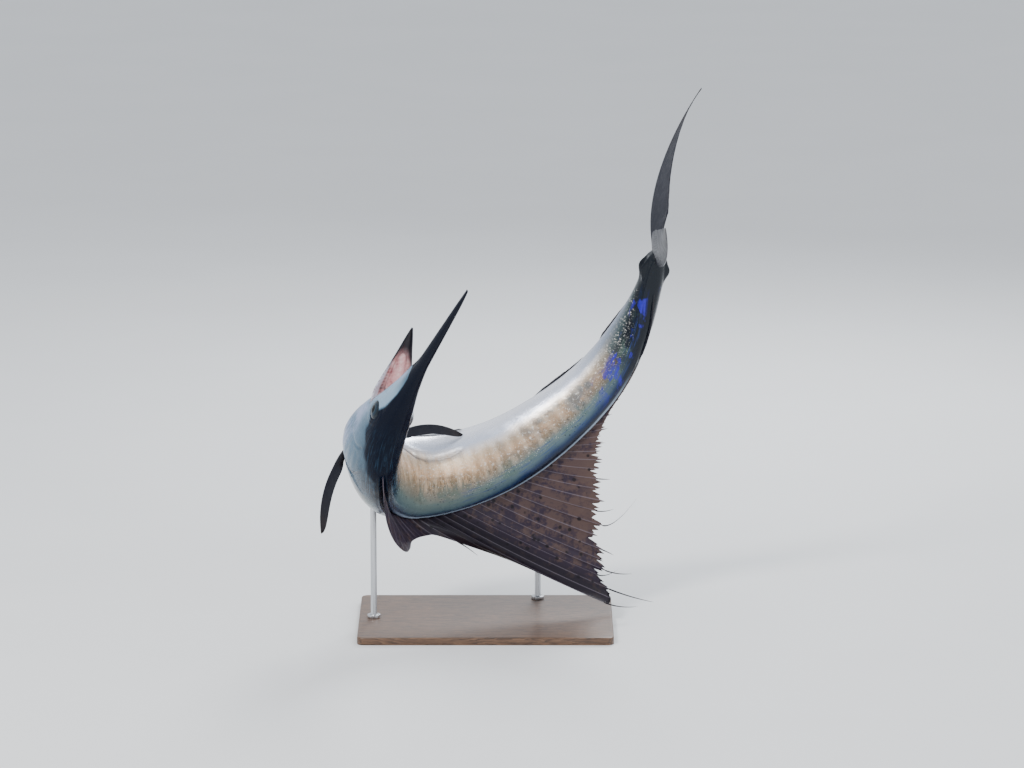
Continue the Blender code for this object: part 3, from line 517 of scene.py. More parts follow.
def makeFishSkin():
    look = skinLook
    material, tree, shader = newMaterial("fishSkin", IOR=1.40, Coat_Roughness=0.08, Coat_IOR=1.35)
    high, along, cap = (markNode(tree, name) for name in ("high", "along", "cap"))
    height, rough = grainOf(tree, 1.0)
    cloud = noiseNode(tree, 9.0, 5.0, 0.6)
    blotch = noiseNode(tree, 42.0, 4.0, 0.6)
    patchy = noiseNode(tree, 17.0, 3.0, 0.55)
    sway = times(minus(cloud, 0.5), 0.12)
    level = plus(high, sway)
    run = flatPlace(along, 30.0, high, 60.0)  # for streaks that run with the body
    wander = times(minus(patchy, 0.5), 0.022)
    beat = mathNode("SINE", times(plus(along, wander), 2 * math.pi / 0.0245))
    fields = {
        "high": high, "along": along, "level": level, "cloud": cloud, "patchy": patchy,
        "swayed": plus(along, sway),
        "streak": noiseAt(run, 1.0, 6.0, 0.65),
        "wrinkles": noiseAt(run, 2.6, 5.0, 0.7),
        "bars": plus(beat, times(blotch, 3.4)),
        "gaps": plus(beat, times(blotch, -2.0)),
        "threads": noiseAt(flatPlace(along, 260.0, high, 9.0), 1.0, 4.0, 0.6),
        "speckles": plus(cellNode(objectPlace(tree), 105.0), times(blotch, 0.6)),
        "sparks": noiseNode(tree, 330.0, 2.0, 0.5),
        "highlightPatchField": noiseNode(tree, 120.0, 4.0, 0.7),
        "patches": noiseNode(tree, 30.0, 3.0, 0.5, (1.0, 1.0, 0.55)),
    }
    lift = limitsOf(fields, (("along", 0.62, 0.42), ("level", 0.46, 0.20)), 0.125)
    trunk = skinRamp(plus(level, lift), "trunk")
    # the bronze dulls to blue-grey over the rear of the trunk
    dull = limitsOf(fields, (("swayed", 0.46, 0.68), ("level", 0.34, 0.44), ("level", 0.68, 0.56)))
    uneven = plus(0.30, times(maskNode(patchy, 0.42, 0.58), 0.60))
    trunk = mixNode(times(dull, uneven), trunk, look["dulled"])
    color = mixNode(maskNode(along, 0.70, 0.84), trunk, skinRamp(level, "tail"))
    color = layered(color, fields, skinLayers["trunk"])
    face = layered(skinRamp(level, "face"), fields, skinLayers["face"])
    color = mixNode(maskNode(along, 0.300, 0.262), color, face)
    streaked = limitsOf(fields, (("streak", 0.50, 0.66), ("along", 0.11, 0.16)))
    color = mixNode(cap, color, mixNode(streaked, look["cap"], look["capStreak"]))
    # pale lip band, a painted highlight strip along the sail groove, and painted shade lines together with
    # the real lateral line
    for mark, strength in (("pale", 1.0), ("grooveHighlightAndMouthStreaks", 0.85), ("creaseShadeAndSideLine", 1.0)):
        color = mixNode(times(markNode(tree, mark), strength), color, look[mark])
    shine = limitsOf(fields, (("level", 0.36, 0.60), ("along", 0.10, 0.30)), 0.42)
    # thin embedded scales drawn out along the body
    scales = cellNode(flatPlace(along, 120.0, high, 190.0), 1.0)
    scales = times(scales, minus(0.8, times(cap, 0.7)))
    setInputs(tree, shader, {
        "Base Color": color, "Roughness": rough, "Specular IOR Level": 0.12,
        "Metallic": times(shine, minus(1.0, cap)),
        "Coat Weight": minus(0.60, times(cap, 0.54)),
        "Normal": bumpNode(plus(height, scales), 0.22, 0.0012)})
    return material


liningLook = {"folds": ((0.30, (0.50, 0.20, 0.21)), (0.46, (0.74, 0.42, 0.42)), (0.70, (0.88, 0.66, 0.65))),
              "vein": (0.16, 0.05, 0.06), "grooveHighlightAndMouthStreaks": (0.05, 0.018, 0.022), "pale": (0.66, 0.70, 0.80),
              "cap": (0.010, 0.010, 0.016)}


def makeMouthLining():
    look = liningLook
    material, tree, shader = newMaterial("mouthLining", IOR=1.4, Coat_Roughness=0.08)
    folds = noiseNode(tree, 70.0, 5.0, 0.6)
    veins = noiseNode(tree, 26.0, 6.0, 0.65)
    color = rampNode(folds, look["folds"])
    color = mixNode(maskNode(veins, 0.66, 0.76), color, look["vein"])
    color = mixNode(times(markNode(tree, "grooveHighlightAndMouthStreaks"), maskNode(folds, 0.46, 0.56)), color, look["grooveHighlightAndMouthStreaks"])
    for mark in ("pale", "cap"):
        color = mixNode(markNode(tree, mark), color, look[mark])
    setInputs(tree, shader, {
        "Base Color": color, "Roughness": 0.3, "Coat Weight": 0.3, "Specular IOR Level": 0.3,
        "Subsurface Weight": 0.12, "Subsurface Radius": (0.004, 0.0015, 0.001),
        "Normal": bumpNode(plus(folds, veins), 0.45, 0.003)})
    return material


fishSkin, mouthLining = makeFishSkin(), makeMouthLining()
print("skin materials made")

# One skin from the tip of the bill to the tail, with the open mouth inside it
skin = {"columns": 152, "mouthColumns": 28, "jawRows": 84, "gulletRows": 14, "palateRise": 0.0125,
        "palateGum": 0.0012, "floorDip": 0.0165, "floorGum": 0.0010, "gulletShare": 0.045,
        "endShare": 0.984}
# from, to and number of rings: fine over the face, wider on the bill and the trunk
rings = {"bill": (fish["billShare"], -0.03, 43), "front": (-0.03, fish["hingeShare"], 144),
         "behind": (fish["hingeShare"], 0.262, 89), "trunk": (0.262, 0.905, 238),
         "stalk": (0.905, skin["endShare"], 36)}
eye = {"share": 0.130, "height": 0.001, "radius": 0.0262, "rimHeight": 0.0024, "rimWidth": 0.0034,
       "socket": 0.0060, "ringHeight": 0.0015, "ringAway": 0.012, "ringWidth": 0.006}
# share, height on the side and radius
nostrils = ((0.0955, 0.0125, 0.0026), (0.1030, 0.0125, 0.0034))
# how far each form of the skin stands out, or lies in where it is below nought
rise = {"nostrilRim": 0.0007, "nostril": -0.0030, "sailRidge": 0.0022, "sailGroove": -0.0028,
        "bellyGroove": -0.0022, "keel": 0.01368, "brow": 0.0022, "crown": -0.0020, "foldSwell": 0.0026,
        "fold": -0.0032, "gillLine": -0.0014, "ripple": 0.00010, "lip": 0.0020}
# courses over the skin: shares, then angles or levels there
foldLine = ((0.335, 0.354, 0.381, 0.406, 0.434, 0.461, 0.479, 0.495),
            (-2.15, -2.07, -1.894, -1.856, -1.881, -1.944, -2.02, -2.10))
sideLineLevel = ((0.255, 0.285, 0.32, 0.36, 0.42, 0.60, 0.90),
                 (0.375, 0.355, 0.375, 0.43, 0.465, 0.48, 0.50))
capEdge = ((-0.02, 0.012, 0.03, 0.045, 0.067, 0.10, 0.125, 0.14, 0.161, 0.181, 0.202, 0.225, 0.27),
           (3.3, 1.90, 1.15, 1.03, 0.96, 1.10, 1.40, 1.47, 1.30, 1.02, 0.78, 0.38, 0.22))
capSoft = ((0.13, 0.17, 0.2), (0.05, 0.13, 0.16))
girth = 0.09  # metres of skin to one radian on the flank
noMarks = dict.fromkeys(("high", "along", "cap", "pale", "grooveHighlightAndMouthStreaks", "creaseShadeAndSideLine"), 0.0)


def within(x, a, b, c, d):  # rises from a to b, falls from c to d
    return ease(x, a, b) * (1 - ease(x, c, d))


def spotOn(shape, share, angle):  # one point or one normal of the body
    return shape(np.array([share]), np.array([angle]))[0]


def angleAt(share, height, reachAt):  # angle from the back, or the belly, of a point of the flank
    level = np.clip(height / reachAt(share), 0.0, 1.0)
    return float(np.arccos(level ** (1 / 0.93)))


def sideSpots(share, height):
    angle = angleAt(share, height, heightAt)
    return [spotOn(bodyPoint, share, angle * side) for side in (1, -1)]


def flankFold(share, angle, width):  # crease of the bent right flank behind the pectoral fin
    away = (angle - np.interp(share, *foldLine)) * girth
    reach = within(share, 0.333, 0.350, 0.480, 0.498)
    return bell(away, width) * reach, away, reach


def sideLine(share, angle, width):  # lateral line, arched over the pectoral fin
    away = (np.abs(angle) / math.pi - np.interp(share, *sideLineLevel)) * math.pi * girth
    return bell(away, width) * within(share, 0.262, 0.28, 0.86, 0.90)


def relief(share, angle, points):  # how far the skin stands off the plain loft
    turn, across = np.abs(angle), np.abs(outlineAt(share, angle)[0])
    out = np.zeros(points.shape[0])
    for spot in sideSpots(eye["share"], eye["height"]):
        away = np.linalg.norm(points - spot, axis=1) - eye["radius"]
        out += eye["rimHeight"] * bell(away - 0.003, eye["rimWidth"])
        out -= eye["socket"] * (1 - ease(away, -0.003, 0.001))
        out += eye["ringHeight"] * bell(away - eye["ringAway"], eye["ringWidth"])
    for place, height, radius in nostrils:
        for spot in sideSpots(place, height):
            away = np.linalg.norm(points - spot, axis=1) - radius
            out += rise["nostrilRim"] * bell(away - 0.0012, 0.0013)
            out += rise["nostril"] * (1 - ease(away, -0.0012, 0.0006))
    top = (turn < 1.2) * within(share, 0.196, 0.215, 0.79, 0.82)
    out += top * rise["sailRidge"] * bell(across - 0.0115, 0.0040)
    out += top * rise["sailGroove"] * bell(across, 0.0052, 4)
    belly = (turn > 2.2) * within(share, 0.27, 0.30, 0.50, 0.54)
    out += belly * rise["bellyGroove"] * bell(across - 0.019, 0.0028)
    for beside in (0.36, -0.36):
        out += rise["keel"] * bell(share - 0.948, 0.014) * bell(math.pi / 2 - turn - beside, 0.15)
    out += rise["brow"] * bell(turn - 0.92, 0.16) * within(share, 0.05, 0.09, 0.15, 0.19)
    out += rise["crown"] * bell(angle, 0.42) * within(share, 0.07, 0.11, 0.17, 0.21)
    fold, beside, reach = flankFold(share, angle, 0.0052)
    out += reach * rise["foldSwell"] * bell(beside + 0.016, 0.010) + rise["fold"] * fold
    out += rise["gillLine"] * bell(share - gillCurve(turn) + 0.050, 0.0022) * (turn > 1.1) * (turn < 2.5)
    wave = np.sin(share * 211 + 2.2 * np.sin(angle * 2)) + np.sin(share * 127 - 3.1 * np.sin(angle * 1.4))
    out += rise["ripple"] * wave * ease(share, 0.25, 0.35)
    lip = (share < 0.15) * (turn <= jowl + 1e-4) * bell(turn - jowl, 0.075)
    return out + rise["lip"] * lip * within(share, -0.02, 0.03, 0.125, 0.149)


def gillCurve(angle):  # share of the rear edge of the gill cover at an angle from the back
    middle = (angle - 1.72) / 0.92
    return 0.2560 - 0.045 * np.abs(middle) ** 2.4


def bodyMarks(share, angle):
    turn, across = np.abs(angle), np.abs(outlineAt(share, angle)[0])
    edge, soft = np.interp(share, *capEdge), np.interp(share, *capSoft)
    cap = 1 - ease(turn + 0.05 * np.sin(share * 260) * ease(share, 0.13, 0.17), edge - soft, edge + soft)
    cap = cap * (1 - ease(share, 0.26, 0.32))
    pale = 0.85 * ease(turn, edge + 0.02, edge + 0.14) * within(share, 0.025, 0.080, 0.125, 0.150)
    point, spots = bodyPoint(share, angle), sideSpots(eye["share"], eye["height"])
    away = np.min([np.linalg.norm(point - spot, axis=1) for spot in spots], axis=0) - eye["radius"]
    cap = np.maximum(cap, 1 - ease(away, 0.0005, 0.0045))
    top = (turn < 1.2) * within(share, 0.23, 0.30, 0.72, 0.80)
    # painted highlight strip along the ridge beside the sail groove
    grooveHighlightAndMouthStreaks = top * bell(across - 0.0135, 0.0048, 4) * ease(share, 0.30, 0.37)
    belly = (turn > 2.2) * within(share, 0.27, 0.31, 0.47, 0.53)
    behind = share - gillCurve(turn)
    # painted shade lines beside the sail groove, in the belly groove, at the gill edges and in the flank
    # fold, and the real lateral line
    creaseShadeAndSideLine = np.max([
        top * bell(across - 0.0205, 0.0018), top * bell(across - 0.0070, 0.0020),
        0.8 * belly * bell(across - 0.019, 0.0016),
        0.5 * bell(behind + 0.050, 0.0016) * (turn > 1.1) * (turn < 2.5),
        0.9 * bell(behind - 0.002, 0.0016) * (turn > 0.85) * (turn < 2.65),
        0.65 * flankFold(share, angle, 0.0036)[0], 0.30 * sideLine(share, angle, 0.0010)], axis=0)
    return {"high": turn / math.pi, "along": share, "cap": cap, "pale": pale, "grooveHighlightAndMouthStreaks": grooveHighlightAndMouthStreaks,
            "creaseShadeAndSideLine": creaseShadeAndSideLine}


hingeP, hingeRear, hingeDorsal, hingeLeft = stationAt(fish["hingeShare"])
hingeLine = float(lineAt(fish["hingeShare"])) * fish["length"]
hingeSpot = hingeP - hingeDorsal * hingeLine
openAngle = math.radians(fish["mouthAngle"])
jawAhead = -hingeRear * math.cos(openAngle) - hingeDorsal * math.sin(openAngle)
jawAbove = hingeDorsal * math.cos(openAngle) - hingeRear * math.sin(openAngle)
jawLength = fish["jawShare"] * fish["length"]
jawTable = ((0.0, 0.0305, 0.0200), (0.16, 0.0290, 0.0175), (0.3, 0.0250, 0.0150), (0.5, 0.0180, 0.0115),
            (0.7, 0.0112, 0.0082), (0.88, 0.0056, 0.0050), (1.0, 0.0014, 0.0014))
jawWide, jawDeep = curveOf(jawTable, 1), curveOf(jawTable, 2)


def jawFrame(q, across, up):  # place of a point of the jaw, turning from closed at the hinge to open
    closed, opened = (hingeSpot + ahead * (q * jawLength)[:, None] + above * up[:, None]
                      for ahead, above in ((-hingeRear, hingeDorsal), (jawAhead, jawAbove)))
    turned = ease(q, 0.0, 0.16)[:, None]
    return closed * (1 - turned) + opened * turned + hingeLeft * across[:, None]


def ringShares(*names):
    runs = [np.linspace(*rings[name]) for name in names]
    return np.concatenate([run[:-1] for run in runs[:-1]] + runs[-1:])


frontShares, rearShares = ringShares("bill", "front"), ringShares("behind", "trunk", "stalk")


def outerSkin(share, angle):
    points = bodyPoint(share, angle)
    points = points + bodyNormal(share, angle) * relief(share, angle, points)[:, None]
    # the tip of the bill and the end of the stalk round off to a point
    tip = ease(share, fish["billShare"] - 1e-6, fish["billShare"] + 0.0006)[:, None]
    stalkEnd = np.sqrt(np.clip((skin["endShare"] - share) / 0.016, 0, 1))[:, None]
    axis = stationAt(share)[0]
    return axis + (points - axis) * np.minimum(tip, stalkEnd)


def alongRows(v, shares):
    return np.interp(v * (len(shares) - 1), np.arange(len(shares)), shares)


def trunkAngle(u):
    return wrapped(-jowl + u * 2 * math.pi)


def faceAngle(u):
    return -jowl + u * 2 * jowl


def jawAngle(u):
    return wrapped(jowl + u * (2 * math.pi - 2 * jowl))


def lipLine(share, side):  # corner of the upper lip
    return outerSkin(share, np.full(share.shape, jowl * side))


def palateShape(u, v):
    share = alongRows(v, frontShares)
    leftEdge, rightEdge, dorsal = lipLine(share, 1), lipLine(share, -1), stationAt(share)[2]
    flatPart = leftEdge * (1 - u)[:, None] + rightEdge * u[:, None]
    inset = np.minimum(u, 1 - u) * np.linalg.norm(leftEdge - rightEdge, axis=1)
    isMouth = ease(share, -0.025, 0.03)
    vault = skin["palateRise"] * ease(inset, 0.0025, 0.012) * ease(share, -0.02, 0.08)
    vault -= skin["palateGum"] * np.sin(np.clip(inset / 0.0045, 0, 1) * math.pi)
    # under the bill the same arc is the rounded underside
    under = outerSkin(share, jawAngle(u)) * (1 - isMouth)[:, None]
    mouth = (flatPart + dorsal * (vault * isMouth)[:, None]) * isMouth[:, None]
    return np.where((inset < 1e-9)[:, None], flatPart, under + mouth)


def jawOuterShape(u, v):
    turn = math.pi / 2 + u * math.pi  # from the left lip under the chin to the right lip

    def ringAt(q, lip):
        wide, deep = jawWide(q) * fish["length"], jawDeep(q) * fish["length"]
        return jawFrame(q, (wide + lip) * signed(np.sin(turn), 0.9), -deep * np.abs(np.cos(turn)) ** 0.9)

    lip = bell(np.minimum(u, 1 - u), 0.035) * 0.0014 * ease(v, 0.03, 0.12) * (1 - v)
    drift = outerSkin(np.full(u.shape, fish["hingeShare"]), jawAngle(u)) - ringAt(0 * v, 0)
    return ringAt(v, lip) + drift * (1 - ease(v, 0.0, 0.20))[:, None]


def floorShape(u, v):  # from the left lip across the floor of the mouth to the right lip
    leftEdge, rightEdge = (jawOuterShape(np.full(u.shape, end), v) for end in (0.0, 1.0))
    base = leftEdge * (1 - u)[:, None] + rightEdge * u[:, None]
    inset = np.minimum(u, 1 - u) * np.linalg.norm(leftEdge - rightEdge, axis=1)
    wide, deep = (at(v) * fish["length"] for at in (jawWide, jawDeep))
    dip = np.minimum(deep * 0.72, skin["floorDip"]) * ease(inset, 0.0018, 0.0035 + 0.35 * wide)
    dip = dip * (0.55 + 0.45 * ease(v, 0.0, 0.2))
    dip -= skin["floorGum"] * np.sin(np.clip(inset / 0.0036, 0, 1) * math.pi)
    dip = np.where(inset < 1e-9, 0.0, dip)
    turned = ease(v, 0.0, 0.16)[:, None]
    return base - (hingeDorsal * (1 - turned) + jawAbove * turned) * dip[:, None]


def gulletShape(edge):  # rings that close in behind the mouth
    def shape(u, v):
        p, _, dorsal, _ = stationAt(fish["hingeShare"] + v ** 0.9 * skin["gulletShare"])
        shrink = np.sqrt(np.clip(1 - v ** 2, 0, 1))[:, None]
        return p - dorsal * hingeLine + (edge(u) - hingeSpot) * shrink
    return shape


def liningMarks(u, v):
    rim = np.minimum(u, 1 - u)
    band = 0.17 * (1 - ease(v, 0.30, 0.75)) * ease(v, 0.0, 0.06)
    dots = 0.60 + 0.40 * np.sin(v * 150) * (1 - ease(v, 0.35, 0.6))
    dark = ease(v - 0.25 * bell(rim, 0.2), 0.58, 0.84) * (v > 0.3)
    dark = np.maximum(dark, ease(v + 0.16 * bell(rim, 0.16), 0.52, 0.76))
    dark = np.maximum(dark, dots * bell(rim - band - 0.030, 0.032) * ease(v, 0.02, 0.10))
    pale = (1 - ease(rim, band - 0.03, band)) * (band > 0.005)
    back = 1 - ease(v, 0.05, 0.32)
    return {**noMarks, "cap": np.clip(dark, 0, 1), "pale": pale, "grooveHighlightAndMouthStreaks": back}


def roofMarks(u, v):
    share = alongRows(v, frontShares)
    return {**noMarks, "high": 0.5, "along": share, "cap": 1 - ease(share, 0.015, 0.055), "grooveHighlightAndMouthStreaks": 0.4}


def jawMarks(u, v):
    rim = np.minimum(u, 1 - u)
    lipDark = bell(rim, 0.030) * (0.75 + 0.25 * np.sin(v * 90)) * ease(v, 0.05, 0.2)
    tip = ease(v + 0.10 * bell(rim, 0.12), 0.66, 0.84)
    return {**noMarks, "high": np.clip(np.abs(jawAngle(u)) / math.pi, 0.55, 1.0), "pale": 0.25,
            "along": fish["hingeShare"] - v * fish["jawShare"], "cap": np.clip(lipDark + tip, 0, 1)}


def makeSkin():
    whole, mouth, face = skin["columns"], skin["mouthColumns"], round(skin["columns"] * jowl / math.pi)

    def outer(shares, angleOf):  # shape and marks of a stretch of outer skin
        return (lambda u, v: outerSkin(alongRows(v, shares), angleOf(u)),
                lambda u, v: bodyMarks(alongRows(v, shares), angleOf(u)))

    def plainMarks(u, v):
        return liningMarks(u * 0 + 0.5, v * 0)

    # columns, rows, shape, marks, and 0 for skin or 1 for mouth lining
    parts = (
        (whole, len(rearShares) - 1, *outer(rearShares, trunkAngle), 0),
        (face, len(frontShares) - 1, *outer(frontShares, faceAngle), 0),
        (mouth, len(frontShares) - 1, palateShape, roofMarks, 1),
        (whole - face, skin["jawRows"], jawOuterShape, jawMarks, 0),
        (mouth, skin["jawRows"], floorShape, liningMarks, 1),
        (mouth, skin["gulletRows"], gulletShape(lambda u: palateShape(u, 0 * u + 1)), plainMarks, 1),
        (mouth, skin["gulletRows"], gulletShape(lambda u: floorShape(u, 0 * u)), plainMarks, 1),
    )
    pieces = []
    for k, (across, along, shape, marks, slot) in enumerate(parts):
        piece = wrapGrid(gridPiece("skinPart" + str(k), across, along), shape, marks, fishSkin, mouthLining)
        piece.data.polygons.foreach_set("material_index", [slot] * len(piece.data.polygons))
        pieces.append(piece)
    return closeUp(joinPieces(pieces, "fishSkinPiece"), 0.00002)


bodyNodes = ("bill", "head", "throat", "lower_jaw", "trunk_front", "trunk_shoulder", "trunk_middle",
             "trunk_waist", "trunk_rear", "tail_root", "tail_stalk")
finishPiece(makeSkin(), "flank_skin", *bodyNodes)

# Gill covers: flaps that leave the cheek flush and stand off the shoulder at their rear edge
gill = {"low": 0.80, "high": 2.62, "long": 0.088, "sink": 0.0014, "stand": 0.0046, "tuck": 0.0022,
        "ridges": 0.0005, "thick": 0.0018, "columns": 60, "rows": 110}


def makeGillCover(side, word):
    def spots(u, v):
        angle = gill["low"] + (gill["high"] - gill["low"]) * v
        return gillCurve(angle) - gill["long"] * (1 - u) * (0.55 + 0.45 * np.sin(math.pi * v)), angle * side

    def shape(u, v):
        share, angle = spots(u, v)
        belly = np.sin(math.pi * v) ** 0.6
        lift = -gill["sink"] + (gill["sink"] + gill["stand"]) * ease(u, 0.25, 0.95) * belly
        lift -= gill["tuck"] * ease(u, 0.93, 1.0)
        lift += gill["ridges"] * np.sin(v * 46 + u * 3) * within(u, 0.35, 0.6, 0.85, 0.97) * belly
        return bodyPoint(share, angle) + bodyNormal(share, angle) * lift[:, None]

    def marks(u, v):
        # painted shade along the rear edge of the gill cover, where it stands off the shoulder
        return {**bodyMarks(*spots(u, v)), "creaseShadeAndSideLine": 0.85 * ease(u, 0.955, 1.0)}

    grid = gridPiece("gillCover" + word, gill["columns"], gill["rows"])
    piece = wrapGrid(grid, shape, marks, fishSkin)
    if side < 0:
        piece.data.flip_normals()
    wall = piece.modifiers.new("wall", "SOLIDIFY")
    wall.thickness = gill["thick"]
    wall.offset = 1.0
    pickOnly(piece)
    bpy.ops.object.modifier_apply(modifier="wall")
    return finishPiece(closeUp(piece, 0.00002), "silver_skin", "gill_cover_" + word.lower())


# Eyes: a flattened ball in its socket, iris and pupil drawn by distance from the axis
eyeBall = {"radius": 0.0290, "half": 0.0125, "sunk": 0.0052, "pupil": 0.0118, "iris": 0.0205,
           "bulge": 0.0016, "segments": 72, "rings": 60}
eyeColors = {"pupil": (0.001, 0.001, 0.0015), "halo": (0.12, 0.15, 0.15),
             "iris": ((0.25, (0.004, 0.008, 0.018)), (0.55, (0.016, 0.034, 0.055)),
                      (0.80, (0.10, 0.13, 0.13))),
             "rim": ((0.2, (0.004, 0.006, 0.010)), (0.8, (0.03, 0.04, 0.05)))}


def makeEyeLook():
    material, tree, shader = newMaterial("eyeLook", Roughness=0.20, IOR=1.33, Coat_Weight=0.4,
                                         Coat_Roughness=0.02, Coat_IOR=1.30, Specular_IOR_Level=0.2)
    out, turn = markNode(tree, "outward"), markNode(tree, "turn")
    grain = noiseAt(flatPlace(turn, 34.0, out, 260.0), 1.0, 3.0, 0.5)
    iris, rim = (rampNode(grain, eyeColors[part]) for part in ("iris", "rim"))
    pupilEdge, irisEdge = eyeBall["pupil"], eyeBall["iris"]
    color = mixNode(maskNode(out, pupilEdge - 0.0006, pupilEdge + 0.0006), eyeColors["pupil"], iris)
    color = mixNode(maskNode(out, irisEdge - 0.002, irisEdge + 0.002), color, rim)
    halo = times(maskNode(out, pupilEdge + 0.0002, pupilEdge + 0.0010),
                 maskNode(out, pupilEdge + 0.0026, pupilEdge + 0.0014), 0.5)
    shine = times(maskNode(out, pupilEdge, pupilEdge + 0.001), 0.25)
    setInputs(tree, shader, {"Base Color": mixNode(halo, color, eyeColors["halo"]), "Metallic": shine})
    return material


eyeLook = makeEyeLook()


def makeEye(side, word):
    angle = angleAt(eye["share"], eye["height"], heightAt) * side
    spot, out = (spotOn(shape, eye["share"], angle) for shape in (bodyPoint, bodyNormal))
    deselectAll()
    bpy.ops.mesh.primitive_uv_sphere_add(segments=eyeBall["segments"], ring_count=eyeBall["rings"],
                                         radius=1.0)
    ball = newPiece("eye" + word)
    co = np.array([v.co for v in ball.data.vertices])
    outside = co[:, 2] > 0
    reach = np.hypot(co[:, 0], co[:, 1]) * eyeBall["radius"]
    markPoints(ball.data, {"outward": np.where(outside, reach, 0.05),
                           "turn": np.abs(np.arctan2(co[:, 1], co[:, 0]))})
    bulge = eyeBall["bulge"] * (1 - ease(reach, 0.0, eyeBall["iris"])) * outside
    co = co * (eyeBall["radius"], eyeBall["radius"], eyeBall["half"])
    co[:, 2] += bulge - eyeBall["sunk"]
    turn = np.array(Vector((0, 0, 1)).rotation_difference(Vector(out)).to_matrix())
    ball.data.vertices.foreach_set("co", (co @ turn.T + spot).ravel())
    ball.data.update()
    ball.data.materials.append(eyeLook)
    bpy.ops.object.shade_smooth()
    return finishPiece(ball, "eye", "eye_" + word.lower())


for side, word in ((1, "Left"), (-1, "Right")):
    makeGillCover(side, word)
for side, word in ((1, "Left"), (-1, "Right")):
    makeEye(side, word)

# Tongue in the floor of the jaw
tongue = {"first": 0.14, "last": 0.66, "wide": 0.44, "tall": 0.0042}


def tongueShape(u, v):
    q = tongue["first"] + (tongue["last"] - tongue["first"]) * v
    plump = np.sqrt(np.clip(1 - (2 * v - 1) ** 6, 0, 1))
    wide = jawWide(q) * fish["length"] * tongue["wide"] * plump
    turn = u * 2 * math.pi
    rest = floorShape(np.full(u.shape, 0.5), q)
    up = tongue["tall"] * plump * (0.5 + np.cos(turn) * (1 - 0.28 * bell(np.sin(turn), 0.25)))
    return rest + hingeLeft * (wide * np.sin(turn))[:, None] + jawAbove * up[:, None]


tonguePiece = wrapGrid(gridPiece("tonguePiece", 36, 44), tongueShape,
                       lambda u, v: {"cap": 0.0, "pale": 0.0, "grooveHighlightAndMouthStreaks": 0.0}, mouthLining)
finishPiece(closeUp(tonguePiece, 0.00002), "mouth_lining", "tongue")


# Fins: thin two-faced sheets with ridged rays
def rayColumns(rays):  # column places from 0 to 1, close together beside each ray
    beside = (0.0, 0.06, 0.14, 0.30, 0.50, 0.70, 0.86, 0.94)
    return np.array([(k + b) / rays for k in range(rays) for b in beside] + [1.0])


def finSheet(name, rays, rows, middle, half, brown, material):
    columns = rayColumns(rays)
    there = np.concatenate([columns, columns[::-1][1:]])
    last = len(there) - 1

    def split(u):
        k = u * last
        return np.interp(k, np.arange(last + 1), there), np.where(k < len(columns) - 1, 1.0, -1.0)

    def shape(u, v):
        c, side = split(u)
        e = 0.004
        across = middle(np.clip(c + e, 0, 1), v) - middle(np.clip(c - e, 0, 1), v)
        along = middle(c, np.clip(v + e, 0, 1)) - middle(c, np.clip(v - e, 0, 1))
        normal = unit(np.cross(across, along))
        closed = (c > 1e-6) & (c < 1 - 1e-6) & (v > 1e-6) & (v < 1 - 1e-6)
        thick = half(c, v) * closed * side
        return middle(c, v) + normal * thick[:, None]

    def allMarks(u, v):
        c = split(u)[0]
        return {"ray": ridge(c, rays, 0.10), "out": v, "across": c, "brown": brown(c, v)}

    return wrapGrid(gridPiece(name, last, rows), shape, allMarks, material)


def ridge(c, rays, width=0.11):
    away = np.abs(c * rays - np.round(c * rays))
    return bell(away, width)


finLooks = {
    "finSkin": {"skin": (0.010, 0.011, 0.018), "ray": (0.036, 0.032, 0.036), "edge": (0.028, 0.022, 0.024)},
    "sailSkin": {"skin": (0.020, 0.013, 0.023), "ray": (0.22, 0.19, 0.23), "edge": (0.088, 0.054, 0.046),
                 "lower": (0.008, 0.006, 0.010), "dot": (0.006, 0.004, 0.007)},
}


def makeFinSkin(name):
    look = finLooks[name]
    material, tree, shader = newMaterial(name, IOR=1.42, Coat_Roughness=0.1)
    height, rough = grainOf(tree, 1.3)
    ray, out, across = (markNode(tree, mark) for mark in ("ray", "out", "across"))
    cloud = noiseNode(tree, 22.0, 5.0, 0.6)
    color = mixNode(times(cloud, 0.7), look["skin"], tuple(c * 1.9 for c in look["skin"]))
    if "lower" in look:  # mottling, and a darker lower part
        mottle = plus(noiseNode(tree, 34.0, 5.0, 0.7), times(maskNode(across, 0.40, 0.62), 0.13))
        color = mixNode(times(maskNode(mottle, 0.50, 0.66), 0.75), color, look["edge"])
        lower = times(maskNode(across, 0.46, 0.41), maskNode(across, 0.26, 0.36), 0.75)
        color = mixNode(lower, color, look["lower"])
    fringe = maskNode(plus(out, times(cloud, 0.5)), 0.80, 1.35)
    color = mixNode(times(fringe, markNode(tree, "brown")), color, look["edge"])
    color = mixNode(times(mathNode("POWER", ray, 7.0), 0.6), color, look["ray"])
    if "dot" in look:
        dots = plus(cellNode(objectPlace(tree), 34.0), times(cloud, 0.35))
        color = mixNode(times(maskNode(dots, 0.42, 0.30), 0.85), color, look["dot"])
    setInputs(tree, shader, {
        "Base Color": color, "Roughness": plus(rough, 0.12), "Coat Weight": 0.05,
        "Specular IOR Level": 0.25, "Normal": bumpNode(height, 0.3, 0.0009)})
    return material


finSkin, sailSkin = makeFinSkin("finSkin"), makeFinSkin("sailSkin")


def makeFin(name, node, fin, middle, half):
    piece = finSheet(name, fin["rays"], fin["rows"], middle, half, lambda c, v: 1.0, finSkin)
    return finishPiece(closeUp(piece), "fin_skin", node)


